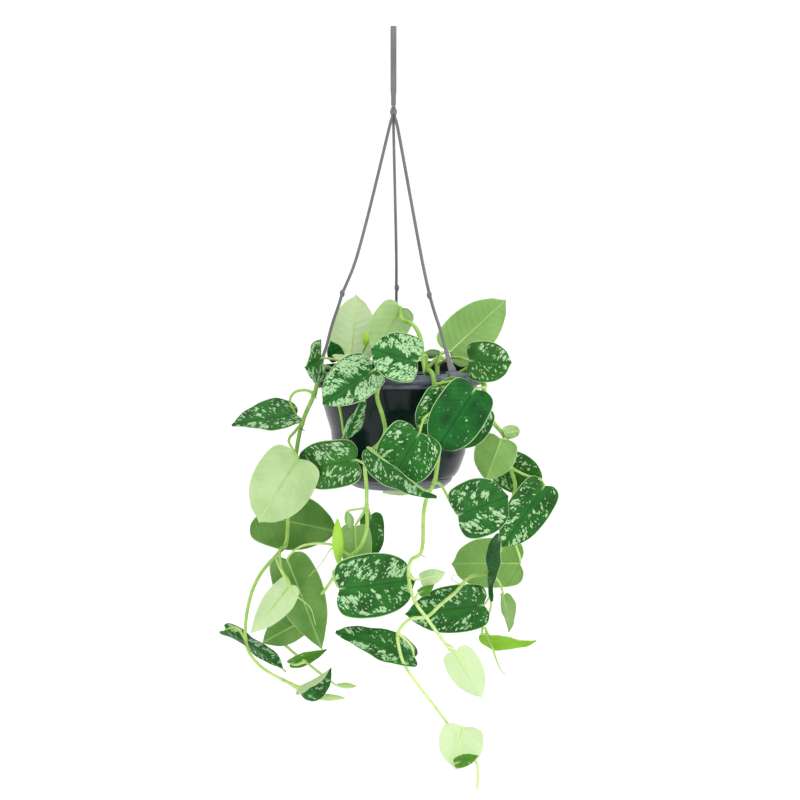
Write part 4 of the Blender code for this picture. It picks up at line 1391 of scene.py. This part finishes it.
@dataclass
class Soil:
    """The potting mix: an uneven plug, with crumbs, bark chips and pale grit strewn on it."""

    pot: Pot
    depth: float = 13.5
    bump: float = 1.12
    shoulder: float = 1.2
    rings: int = 40
    sides: int = 144
    room: float = 0.9
    foot: tuple[float, float] = (45.0, 91.6)
    bare_edge: float = 0.97

    def plug(self, finishes: Finishes) -> bpy.types.Mesh:
        """Makes the mix itself.

        Args:
            finishes: every material of the object.

        Returns:
            The mesh, with the value open at 1 on its top.
        """
        across, rim = self.pot.axis[0], self.pot.rim
        circle = unit_circle(self.sides)
        rings, is_open = [], []
        outer = self.pot.inner_radius(self.depth) - self.room
        for share in np.arange(1, self.rings + 1) / self.rings:
            place = circle * outer * share + (across, 0.0)
            x, y = place.T
            lift = np.sin(x * 0.31 + 1.3) * np.cos(y * 0.27)
            lift += 0.5 * np.sin(x * 0.9 + y * 0.7) * np.cos(y * 0.8 - x * 0.4)
            rings.append(level_ring(place, rim - self.depth + self.bump * lift + self.shoulder * share**6))
            is_open.append(np.full(self.sides, float(share < self.bare_edge)))
        lower = [(self.pot.inner_radius(down) - self.room, down) for _, down in self.pot.side[1:]]
        for radius, down in (*lower, self.foot):
            rings.append(level_ring(circle * radius + (across, 0.0), rim - down))
            is_open.append(np.zeros(self.sides))
        draft = Draft()
        ends = tuple(np.array([across, 0, rim - down]) for down in (self.depth, self.foot[1]))
        draft.add_shell(np.array(rings), ends, values={"open": (np.array(is_open), 1.0, 0.0)})
        return draft.mesh("potting_mix", [finishes.soil])

    def build(self, finishes: Finishes, chips: bpy.types.NodeTree) -> None:
        """Makes the mix and what is strewn on it.

        Args:
            finishes: every material of the object.
            chips: the tree that strews them.
        """
        plug = self.plug(finishes)
        labels = ("Density", "Smallest", "Largest", "Flatness", "Seed", "Material")
        for name, *strewn in (
            ("soil_crumbs", 90000.0, 0.0010, 0.0028, 0.7, 3, finishes.soil),
            ("bark_chips", 7500.0, 0.0030, 0.0078, 0.4, 11, finishes.bark),
            ("pale_grit", 5200.0, 0.0011, 0.0024, 0.9, 23, finishes.grit),
        ):
            stand(name, grown(name, plug.copy(), chips, dict(zip(labels, strewn))), "soil")
        stand("potting_mix", plug, "soil")


# ---- The hanger ----


@dataclass
class Hook:
    """The flat hook with its shank, the neck and the collar that the strands go up into."""

    bore: float = 6.0
    width: float = 5.2
    thick: float = 3.5
    leg: float = -26.5
    neck_top: float = -54.0
    notch: tuple[float, float] = (-66.4, -64.8)
    collar_top: float = -68.5
    collar_foot: float = -72.5
    collar_radius: float = 3.0
    collar_bore: float = 2.5
    collar_roof: float = 1.2

    def path(self) -> np.ndarray:
        """Draws the middle line of the strap.

        Returns:
            Its points, from the tip of the leg to the collar.
        """
        middle = self.bore + self.thick / 2
        turns = np.linspace(0, math.pi, 25)
        arc = [(0, -middle * math.cos(turn), middle * math.sin(turn) - self.bore) for turn in turns]
        leg = [(0, -middle - 0.8, self.leg), (0, -middle - 0.1, self.leg + 6), (0, -middle, -13)]
        shank = [(0, middle, -14), (0, middle - 0.2, -26), (0, 5.2, -36), (0, 1.6, -46), (0, 0.2, -55)]
        shank += [(0, 0, z) for z in (-62, -64.6, -65.6, -66.6, self.collar_top - 1)]
        return np.vstack([smooth_path(leg, 2.0)[:-1], arc, smooth_path(shank, 1.0)])

    def halves(self, y: float, z: float) -> tuple[float, float]:
        """Measures the strap, which is slimmer at the neck and its notch.

        Args:
            y: how far behind the origin the place is.
            z: its height.

        Returns:
            Half the width and half the thickness there.
        """
        wide, thick = self.width / 2, self.thick / 2
        if y <= -1 or z >= self.neck_top:
            return wide, thick
        notch = 0.7 if self.notch[0] < z < self.notch[1] else 1.0
        taper = 0.82 + 0.18 * min(1.0, max(0.0, (z - self.neck_top + 4) / 6))
        return wide * taper * notch, thick * 0.85

    def build(self, finishes: Finishes) -> None:
        """Makes the hook.

        Args:
            finishes: every material of the object.
        """
        path = self.path()
        halves = np.array([self.halves(y, z) for _, y, z in path])
        draft = Draft()
        draft.add_shell(swept_rings(path, halves, (1, 0, 0), 24, 0.35), (path[0], path[-1]))
        top, foot, roof = self.collar_top, self.collar_foot, self.collar_top - self.collar_roof
        draft.add_turned(rounded([
            (0, top), (self.collar_radius, top), (self.collar_radius, foot), (self.collar_bore, foot),
            (self.collar_bore, roof), (0, roof),
        ], 0.3, 3), (0.0, 0.0), 48)
        stand("hook_strap", draft.mesh("hook_strap", [finishes.hanger]), "hanger_hook")


@dataclass
class Strand:
    """One strand of the hanger, from the collar to the clip over the rim that ends it."""

    name: str
    rim_angle: float
    top_angle: float
    route: tuple[Point, ...]
    pot: Pot
    hook: Hook
    thread: float = 2.5
    thread_tip: float = 1.6
    clip_width: float = 10.0
    clip_thick: float = 1.7
    clip_leg: float = 5.0
    tab: float = 20.0
    nub: float = 2.2
    nub_length: float = 3.3
    gap: float = 0.3

    def __post_init__(self) -> None:
        """Works out the pot's axis, the way out from it, the way along the rim and the clip's top."""
        angle = math.radians(self.rim_angle)
        self.axis = np.array([*self.pot.axis, 0.0])
        self.out = np.array([math.cos(angle), math.sin(angle), 0.0])
        self.tangent = np.array([-math.sin(angle), math.cos(angle), 0.0])
        self.web_top = self.pot.rim + self.gap + self.clip_thick

    def thread_rings(self, draft: Draft) -> None:
        """Adds the thread, which widens into the clip's tab.

        Args:
            draft: the mesh that it is added to.
        """
        hook, half, tip = self.hook, self.thread / 2, self.thread_tip / 2
        ring = hook.collar_bore - tip - self.gap - 0.05
        angle = math.radians(self.top_angle)
        top = np.array([ring * math.cos(angle), ring * math.sin(angle), 0.0])
        heights = (hook.collar_top - hook.collar_roof - self.gap, hook.collar_foot - 2, hook.collar_foot - 9)
        knots = [top * spread + (0, 0, z) for spread, z in zip((1.0, 1.15, 2.6), heights)]
        web = self.axis + self.out * (self.pot.radius - self.pot.wall / 2) + (0, 0, self.web_top - 0.6)
        path = smooth_path([*knots, *self.route, web], 2.5)
        z = path[:, 2]
        flare = np.maximum(0, 1 - (z - self.web_top) / self.tab)
        slim = np.clip((z - hook.collar_foot + 6) / 6, 0, 1)
        wide = half + (self.clip_width / 2 - 0.6 - half) * flare**1.3
        halves = np.column_stack([wide, half - 0.3 * flare]) * (1 - slim[:, None]) + tip * slim[:, None]
        draft.add_shell(swept_rings(path, halves, tuple(self.tangent), 16, 0.7), (path[0], path[-1]))

    def nub_rings(self, draft: Draft) -> None:
        """Adds the small nub part of the way up the thread.

        Args:
            draft: the mesh that it is added to.
        """
        centre = np.array(self.route[1]) - self.tangent * 0.4
        angles = np.linspace(0, math.pi, 11)[1:-1]
        path = np.array([centre + (0, 0, self.nub_length * math.cos(angle)) for angle in angles])
        halves = np.repeat(self.nub * np.sin(angles)[:, None], 2, axis=1)
        reach = np.array([0, 0, self.nub_length])
        rings = swept_rings(path, halves, tuple(self.tangent), 14, 1.0)
        draft.add_shell(rings, (centre + reach, centre - reach))

    def clip_rings(self, draft: Draft) -> None:
        """Adds the clip, a bent plate over the rim that grips under the band.

        Args:
            draft: the mesh that it is added to.
        """
        rim, radius, thick = self.pot.rim, self.pot.radius, self.clip_thick
        outer, inner = radius + self.gap + thick, radius - self.pot.wall - 3 * self.gap - thick
        lip = rim - self.pot.band - self.gap - 0.5
        section = rounded([
            (inner, rim - 2), (inner, rim - self.clip_leg), (inner + thick, rim - self.clip_leg),
            (inner + thick, rim + self.gap), (radius + self.gap, rim + self.gap), (radius + self.gap, lip),
            (radius - 2.4, lip), (radius - 2.4, lip - 1.2), (outer, lip - 1.6), (outer, self.web_top),
            (inner, self.web_top), (inner, rim - 2),
        ], 0.6, 3)[:-1]
        inward = section.mean(axis=0) - section
        inward /= np.linalg.norm(inward, axis=1, keepdims=True)
        half_width = self.tangent * self.clip_width / 2
        rings = []
        bevel = ((1.0, 0.25), (0.94, 0.06), (0.88, 0.0))
        for along, shrink in (*((-share, pull) for share, pull in bevel), *reversed(bevel)):
            pulled = section + inward * shrink
            rings.append([self.axis + self.out * r + (0, 0, z) + half_width * along for r, z in pulled])
        middle = self.axis + self.out * (outer - thick / 2) + (0, 0, rim - 6)
        draft.add_shell(np.array(rings), (middle - half_width, middle + half_width))

    def build(self, finishes: Finishes) -> None:
        """Makes the strand.

        Args:
            finishes: every material of the object.
        """
        draft = Draft()
        self.thread_rings(draft)
        self.nub_rings(draft)
        self.clip_rings(draft)
        name = self.name + "_thread"
        stand(name, draft.mesh(name, [finishes.hanger]), self.name)


ROUTES: dict[str, tuple[float, float, tuple[Point, ...]]] = {
    "strand_left": (203.0, 210.0, ((-33, -15, -199), (-44, -19.5, -226), (-47.5, -21, -237),
                                   (-52.7, -23, -252), (-58, -25.5, -272), (-61, -27, -281))),
    "strand_right": (308.0, 330.0, ((25, -31, -199), (31, -38, -226), (35, -42, -240), (40, -47.5, -255),
                                    (44.5, -53, -271), (47.5, -56.5, -281))),
    "strand_rear": (92.0, 90.0, ((2.4, 42, -199), (2.4, 51.5, -226), (2.4, 56.5, -240), (2.4, 62, -255),
                                 (2.4, 68, -272), (2.4, 71, -281))),
}


# ---- The plant ----

# A leaf's outline: for each row its place on the midrib and on the margin as shares of the length,
# its half width as a share of the width, and what a full leaf has more of that.
STATIONS = np.array([
    (0.0, 0.0, 0.0, 0.0),
    (0.05, -0.055, 0.20, 0.02),
    (0.17, 0.03, 0.42, 0.01),
    (0.39, 0.34, 0.50, 0.0),
    (0.64, 0.64, 0.40, 0.07),
    (0.86, 0.86, 0.17, 0.15),
    (0.95, 0.95, 0.045, 0.055),
    (1.0, 1.0, 0.0, 0.0),
])
PAST_TIP = (1.06, 1.06, 0.0)


def both_faces(values: np.ndarray) -> np.ndarray:
    """Values on a blade's rows, carried over its upper face and back along its underside."""
    return np.concatenate([values[1:-1], values[1:-1, ::-1]], axis=1)


def leaf_values(
    flat: tuple[np.ndarray, np.ndarray, float], rim: tuple[np.ndarray, float, float], **even: float
) -> Values:
    """Collects a leaf's named values.

    Args:
        flat: how far along and across the flat leaf each point is, and the leaf's length, in millimetres.
        rim: how near the margin the points and the two ends are.
        even: the values that are the same all over the leaf.

    Returns:
        The values on its rings and at its two ends.
    """
    along, across, length = flat
    values = {"flat_along": (along / FLAT_SCALE, 0.0, length / FLAT_SCALE),
              "flat_across": (across / FLAT_SCALE, 0.0, 0.0), "rim": rim}
    values.update((name, (np.full(along.shape, value), value, value)) for name, value in even.items())
    return values


@dataclass
class Blade:
    """The surface of one leaf, from the flat heart shape to its place on the plant."""

    leaf: Leaf
    seed: float
    rows_each: int = 7
    columns: tuple[float, ...] = (
        0.0, 0.035, 0.08, 0.15, 0.24, 0.34, 0.45, 0.56, 0.67, 0.77, 0.86, 0.93, 0.975, 1.0,
    )
    half_thick: float = 0.24
    half_edge: float = 0.13
    crease: float = 0.006
    quilt: float = 0.16
    groove: float = 0.22
    groove_width: float = 0.9

    def __post_init__(self) -> None:
        """Works out the leaf's directions: along, across and up."""
        self.base, tip = np.array(self.leaf.base, float), np.array(self.leaf.tip, float)
        chord = float(np.linalg.norm(tip - self.base))
        self.along = (tip - self.base) / chord
        front = np.array([0.0, -1.0, 0.0])
        facing = front - self.along * np.dot(front, self.along)
        facing /= np.linalg.norm(facing)
        turn = math.radians(self.leaf.turn)
        self.up = facing * math.cos(turn) + np.cross(self.along, facing) * math.sin(turn)
        self.sideways = np.cross(self.up, self.along)
        self.bend, self.fold = math.radians(self.leaf.droop), math.radians(self.leaf.fold)
        self.length = chord * (self.bend / 2) / math.sin(self.bend / 2)

    def at(self, rib: np.ndarray, margin: np.ndarray, half: np.ndarray, across: np.ndarray) -> Surface:
        """Points of the middle surface.

        Args:
            rib: place on the midrib, as a share of the length.
            margin: place on the margin, as a share of the length.
            half: half width, as a share of the width.
            across: from -1, the left margin, to 1.

        Returns:
            The points, and how far along and across the flat leaf they are in millimetres.
        """
        length, bend = self.length, self.bend
        reach = np.abs(across)
        run = (rib + (margin - rib) * reach) * length
        angle = bend / 2 - bend * run / length
        spread = half * self.leaf.width * reach
        crease = np.sqrt(reach**2 + self.crease) - math.sqrt(self.crease)
        rise = half * self.leaf.width * crease * math.sin(self.fold)
        rise += self.leaf.wave * length * np.sin(9.5 * run / length + across) * reach**2
        rise += 0.006 * length * np.sin(23.0 * run / length + 40 * self.seed + 2 * across) * reach**3
        x = length / bend * (math.sin(bend / 2) - np.sin(angle)) - rise * np.sin(angle)
        z = length / bend * (np.cos(angle) - math.cos(bend / 2)) + rise * np.cos(angle)
        y = np.sign(across) * spread * math.cos(self.fold)
        places = self.base + x[..., None] * self.along + y[..., None] * self.sideways + z[..., None] * self.up
        return places, run, np.sign(across) * spread

    def rib_points(self, shares: tuple[float, ...], near: float, far: float) -> list[np.ndarray]:
        """Finds points under the midrib.

        Args:
            shares: their places, as shares of the length.
            near: how far below the midrib the first one is.
            far: how far below it the last one is.

        Returns:
            The points.
        """
        where = np.array(shares)
        places, _, _ = self.at(where, where, np.zeros_like(where), np.zeros_like(where))
        depths = np.interp(where, (where[0], where[-1]), (near, far))
        return list(places - self.up * depths[:, None])

    def grid(self) -> tuple[Surface, np.ndarray]:
        """Lays out the middle surface, as rows from base to tip.

        Returns:
            The surface, and each point's place across it, from -1 to 1.
        """
        table = STATIONS[:, :3].copy()
        table[:, 2] += STATIONS[:, 3] * self.leaf.full
        knots = np.vstack([2 * table[0] - table[1], table, PAST_TIP])
        last = len(STATIONS) - 1
        shape = catmull(knots, np.linspace(0, last, self.rows_each * last + 1))
        shape[:, 2] = np.maximum(shape[:, 2], 0)
        half_columns = np.array(self.columns)
        across = np.concatenate([-half_columns[:0:-1], half_columns])
        rows = [np.repeat(column[:, None], len(across), axis=1) for column in shape.T]
        wide = np.repeat(across[None, :], len(shape), axis=0)
        return self.at(*rows, wide), wide

    def add(self, draft: Draft) -> None:
        """Adds the blade to a mesh as one thin closed shell.

        Args:
            draft: the mesh that it is added to.
        """
        (places, run, spread), wide = self.grid()
        normal = np.cross(np.gradient(places, axis=0), np.gradient(places, axis=1))[1:-1]
        normal /= np.linalg.norm(normal, axis=2, keepdims=True)
        if np.mean(normal @ self.up) < 0:
            normal = -normal
        reach, side = np.abs(wide)[1:-1], spread[1:-1]
        flow = run[1:-1] - VEIN_LEAN * np.abs(side) - VEIN_CURVE * side**2
        quilt = self.quilt * np.cos(math.tau * flow / VEIN_SPACING)
        quilt *= np.sin(math.pi * reach.clip(0, 1)) ** 0.7
        groove = -self.groove * np.exp(-((side / self.groove_width) ** 2))
        thick = self.half_edge + (self.half_thick - self.half_edge) * (1 - reach**3)
        middle = places[1:-1] + normal * quilt[..., None]
        top = middle + normal * (thick + groove * 0.8)[..., None]
        bottom = middle - normal * (thick - groove * 0.4)[..., None]
        silver, young = self.leaf.look.value
        values = leaf_values(
            (both_faces(run), both_faces(spread), self.length), (both_faces(np.abs(wide)), 1.0, 1.0),
            seed=self.seed, silver=silver, young=young, pale=self.leaf.pale,
        )
        count = wide.shape[1]
        sides = [0] * count + [1] * (count - 1) + [0]
        rings = np.concatenate([top, bottom[:, ::-1]], axis=1)
        draft.add_shell(rings, (places[0, 0], places[-1, 0]), sides, values)


@dataclass
class RolledLeaf:
    """A young leaf that is still rolled up, with the free edge of the roll as a low ridge."""

    spear: Spear
    seed: float
    around: int = 26
    overlap: float = 0.22
    slimmest: float = 0.45
    flatness: float = 0.72
    bow: float = 0.03

    def add(self, draft: Draft) -> None:
        """Adds the rolled leaf to a mesh.

        Args:
            draft: the mesh that it is added to.
        """
        base, tip = np.array(self.spear.base, float), np.array(self.spear.tip, float)
        length = float(np.linalg.norm(tip - base))
        heading = (tip - base) / length
        side = np.cross(heading, [0.0, 1.0, 0.0])
        side /= np.linalg.norm(side)
        other = np.cross(heading, side)
        turns = np.arange(self.around) / self.around
        shares = np.linspace(0.02, 0.985, 26)
        rings = []
        for share in shares:
            half = max(self.slimmest, self.spear.width / 2 * math.sin(math.pi * (share * 0.88 + 0.09)) ** 0.9)
            growth = 1 - self.overlap * turns
            angle = math.tau * turns + 1.6 * share + 4.0
            radial = np.outer(np.cos(angle) * growth, side)
            radial += np.outer(np.sin(angle) * growth * self.flatness, other)
            bow = self.bow * length * math.sin(math.pi * share)
            rings.append(base + heading * length * share + other * bow + radial * half)
        along, across = np.meshgrid(shares * length, (turns - 0.5) * self.spear.width, indexing="ij")
        edge = np.full(along.shape, 0.5)
        edge[:, 0] = 0.99
        values = leaf_values((along, across, length), (edge, 0.5, 0.5), seed=self.seed, silver=0.0,
                             young=self.spear.young, pale=self.spear.pale)
        draft.add_shell(np.array(rings), (base, tip), [1] * self.around, values)


@dataclass
class Paths:
    """Paths for the living tube: points, with named values at each of them."""

    points: list[np.ndarray] = field(default_factory=list)
    values: dict[str, list[np.ndarray]] = field(default_factory=dict)

    def add(self, path: np.ndarray, **values: np.ndarray | float) -> None:
        """Adds one path, with half its thickness in metres, its tone and its scars at each point.

        Args:
            path: its points.
            values: for each name, one number or one for each point.
        """
        self.points.append(path)
        for name, value in values.items():
            self.values.setdefault(name, []).append(np.broadcast_to(value, len(path)))

    def mesh(self, name: str) -> bpy.types.Mesh:
        """Makes the paths into edges, in metres.

        Args:
            name: the mesh's name.

        Returns:
            The mesh, with the named values at its points.
        """
        edges, first = [], 0
        for path in self.points:
            edges += [(first + number, first + number + 1) for number in range(len(path) - 1)]
            first += len(path)
        made = bpy.data.meshes.new(name)
        made.from_pydata((np.vstack(self.points) * MM).tolist(), edges, [])
        add_columns(made, {key: np.concatenate(parts) for key, parts in self.values.items()})
        return made


@dataclass
class LeafyStem:
    """One vine: its stem with nodes, its stalks and midribs, its blades and rolled leaves."""

    name: str
    vine: Vine
    number: int
    foot: float = -313.0
    stalk: float = 1.3
    step: float = 1.4
    joint_swell: float = 0.24
    scar: float = 0.45
    under_blade: tuple[float, float] = (0.72, 0.30)
    rib_shares: tuple[float, ...] = (0.06, 0.16, 0.30, 0.45, 0.60, 0.75, 0.88)
    sides: int = 12
    unevenness: float = 0.00018

    def stem_path(self, paths: Paths) -> list[Point]:
        """Adds the stem, swollen and scarred at each joint.

        Args:
            paths: where it is added.

        Returns:
            The stem's given points.
        """
        knots = [(*self.vine.stem[0], self.foot), *self.vine.stem[1:]]
        path = smooth_path(knots, self.step)
        run = lengths_along(path)
        share = run / run[-1]
        thick = (self.vine.thick[0] * (1 - share) + self.vine.thick[1] * share) / 2
        scar = np.zeros(len(path))
        for joint in {part.joint for part in self.vine.bears if not isinstance(part, Root)}:
            past = run - run[np.argmin(np.linalg.norm(path - np.array(knots[joint], float), axis=1))]
            thick = thick * (1 + self.joint_swell * np.exp(-((past / 2.4) ** 2)))
            scar = np.maximum(scar, self.scar * np.exp(-(((past - 2.2) / 0.8) ** 2)))
        thick[-3:] *= (0.9, 0.75, 0.5)
        tone = self.vine.tones[0] * (1 - share) + self.vine.tones[1] * share
        paths.add(path, thickness=thick * MM, tone=tone, scar=scar)
        return knots

    def stalk_path(self, paths: Paths, start: Point, blade: Blade, tone: float) -> None:
        """Adds a leaf's stalk, which runs on under the blade as its midrib.

        Args:
            paths: where it is added.
            start: where it leaves the stem.
            blade: the leaf's blade.
            tone: the stalk's tone, from green to cream.
        """
        ribs = blade.rib_points(self.rib_shares, *self.under_blade)
        path = smooth_path([start, *blade.leaf.bends, tuple(blade.base - blade.up * 0.7), *ribs], self.step)
        run = lengths_along(path)
        at_base = run[np.argmin(np.linalg.norm(path - blade.base, axis=1))]
        free = np.clip(run / max(at_base, 1.0), 0, 1)
        under = np.clip((run - at_base) / max(run[-1] - at_base, 1.0), 0, 1)
        thick = self.stalk * blade.leaf.stalk * (1 - 0.28 * free) * (1 - 0.86 * under**0.7)
        thick *= 1 + 0.35 * np.exp(-((run / 4.0) ** 2))
        thick = np.where(under > 0, np.minimum(thick, 0.50 * (1 - under) + 0.16), thick)
        tones = tone * (1 - under) + (0.25 + 0.75 * blade.leaf.pale) * under
        paths.add(path, thickness=thick * MM, tone=tones, scar=0.0)

    def bear(
        self, part: Leaf | Spear | Root, seed: float, knots: list[Point], paths: Paths, blades: Draft
    ) -> None:
        """Adds what the stem bears.

        Args:
            part: a leaf, a rolled leaf or a root.
            seed: its own number from 0 to 1.
            knots: the stem's points.
            paths: where its stalk goes.
            blades: where its blade goes.
        """
        if isinstance(part, Root):
            path = smooth_path(list(part.points), 1.0)
            run = lengths_along(path)
            thick = part.thick / 2 * (1 - 0.75 * (run / run[-1]) ** 1.5)
            paths.add(path, thickness=thick * MM, tone=part.tone, scar=0.0)
            return
        start = knots[part.joint]
        tone = float(np.interp(part.joint, (0, len(knots) - 1), self.vine.tones)) + 0.08
        if isinstance(part, Spear):
            RolledLeaf(part, seed).add(blades)
            inside = tuple(np.array(part.base) * 0.9 + np.array(part.tip) * 0.1)
            paths.add(smooth_path([start, part.base, inside], 1.0), thickness=MM, tone=tone, scar=0.0)
            return
        blade = Blade(part, seed)
        blade.add(blades)
        self.stalk_path(paths, start, blade, tone)

    def build(self, finishes: Finishes, tube: bpy.types.NodeTree) -> None:
        """Makes the vine's two pieces, its leaves and its stems.

        Args:
            finishes: every material of the object.
            tube: the tree that grows the tubes.
        """
        paths, blades = Paths(), Draft()
        knots = self.stem_path(paths)
        for number, part in enumerate(self.vine.bears):
            self.bear(part, (0.37 * self.number + 0.61 * number) % 1.0, knots, paths, blades)
        name = self.name + "_leaves"
        mesh = blades.mesh(name, [finishes.upper, finishes.under], ("flat_along", "flat_across"))
        stand(name, mesh, self.name)
        name = self.name + "_stems"
        mesh = grown(name, paths.mesh(self.name + "_paths"), tube,
                     {"Sides": self.sides, "Unevenness": self.unevenness, "Material": finishes.stem})
        stand(name, mesh, self.name)


# ---- The studio ----


@dataclass
class Studio:
    """The pale floor, the soft lights and the camera."""

    eye: Point = (5.0, -4000.0, 58.0)
    aim: Point = (5.6, 0.0, -320.0)
    field_of_view: float = 9.87
    sensor: float = 36.0
    far: float = 400.0
    floor: float = -760.0
    floor_radius: float = 60.0
    floor_glow: float = 0.22
    surround: tuple[float, float] = (1.0, 0.50)
    sun: float = 1.5
    sun_spread: float = 80.0
    sun_from: Point = (0.25, -0.35, 1.0)
    lit_middle: Point = (0.0, 0.0, -0.4)
    boxes: tuple[tuple[str, Point, tuple[float, float], float], ...] = (
        ("left_box", (-2.2, -1.6, 0.9), (1.4, 2.2), 12.0),
        ("right_box", (2.4, -1.2, 0.4), (1.0, 2.2), 12.0),
        ("back_box", (0.6, 2.4, 1.0), (2.0, 1.6), 10.0),
    )

    def camera(self) -> None:
        """Makes the camera at the photograph's viewing angle."""
        data = bpy.data.cameras.new("camera")
        data.sensor_width = self.sensor
        data.lens = self.sensor / 2 / math.tan(math.radians(self.field_of_view / 2))
        data.clip_end = self.far
        camera = placed("camera", data)
        eye, aim = Vector(self.eye) * MM, Vector(self.aim) * MM
        camera.location = eye
        camera.rotation_euler = (aim - eye).to_track_quat("-Z", "Y").to_euler()
        bpy.context.scene.camera = camera

    def floor_disc(self) -> None:
        """Makes the plain pale floor."""
        material, w, shader = blank_material("pale_floor")
        w.fill(shader, {"Base Color": (0.93, 0.93, 0.93), "Roughness": 0.9, "Emission Color": (1.0, 1.0, 1.0),
                        "Emission Strength": self.floor_glow})
        bm = bmesh.new()
        bmesh.ops.create_circle(bm, cap_ends=True, segments=96, radius=self.floor_radius,
                                matrix=Matrix.Translation((0, 0, self.floor * MM)))
        mesh = bpy.data.meshes.new("floor")
        bm.to_mesh(mesh)
        bm.free()
        mesh.materials.append(material)
        placed("floor", mesh)

    def world(self) -> None:
        """Makes the white surround, brighter where the camera sees it than as a light."""
        world = bpy.data.worlds.new("surround")
        world.use_nodes = True
        bpy.context.scene.world = world
        w = Wiring(world.node_tree)
        seen, lit = self.surround
        is_seen = w.add("ShaderNodeLightPath").outputs["Is Camera Ray"]
        w.fill(world.node_tree.nodes["Background"], {"Color": (1.0, 1.0, 1.0),
                                                     "Strength": w.line(is_seen, seen - lit, lit)})

    def lights(self) -> None:
        """Makes the wide soft light from above and the soft boxes round the plant."""
        data = bpy.data.lights.new("sky_light", "SUN")
        data.energy = self.sun
        data.angle = math.radians(self.sun_spread)
        placed("sky_light", data).rotation_euler = Vector(self.sun_from).to_track_quat("Z", "Y").to_euler()
        for name, place, (wide, high), power in self.boxes:
            data = bpy.data.lights.new(name, "AREA")
            data.shape = "RECTANGLE"
            data.size, data.size_y = wide, high
            data.energy = power
            box = placed(name, data)
            box.location = place
            box.rotation_euler = (Vector(self.lit_middle) - Vector(place)).to_track_quat("-Z", "Y").to_euler()

    def build(self) -> None:
        """Makes the whole studio."""
        bpy.context.scene.view_settings.view_transform = "Standard"
        self.camera()
        self.floor_disc()
        self.world()
        self.lights()
        log.info("studio: camera, floor, surround and %d lights", len(self.boxes) + 1)


def corners(box: tuple[Vector, Vector]) -> list[list[float]]:
    """A box as plain lists of numbers."""
    return [list(corner) for corner in box]


def main() -> None:
    """Builds every piece and the studio."""
    logging.basicConfig(level=logging.INFO, format="%(name)s: %(message)s")
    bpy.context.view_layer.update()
    finishes = Finishes()
    tube, chips = living_tube(), scattered_chips()
    pot, hook = Pot(), Hook()
    pot.build(finishes)
    Saucer(pot).build(finishes)
    Soil(pot).build(finishes, chips)
    hook.build(finishes)
    for name, (rim_angle, top_angle, route) in ROUTES.items():
        Strand(name, rim_angle, top_angle, route, pot, hook).build(finishes)
    for number, (name, vine) in enumerate(VINES.items()):
        LeafyStem(name, vine, number).build(finishes, tube)
    Studio().build()


if __name__ == "__main__":
    main()
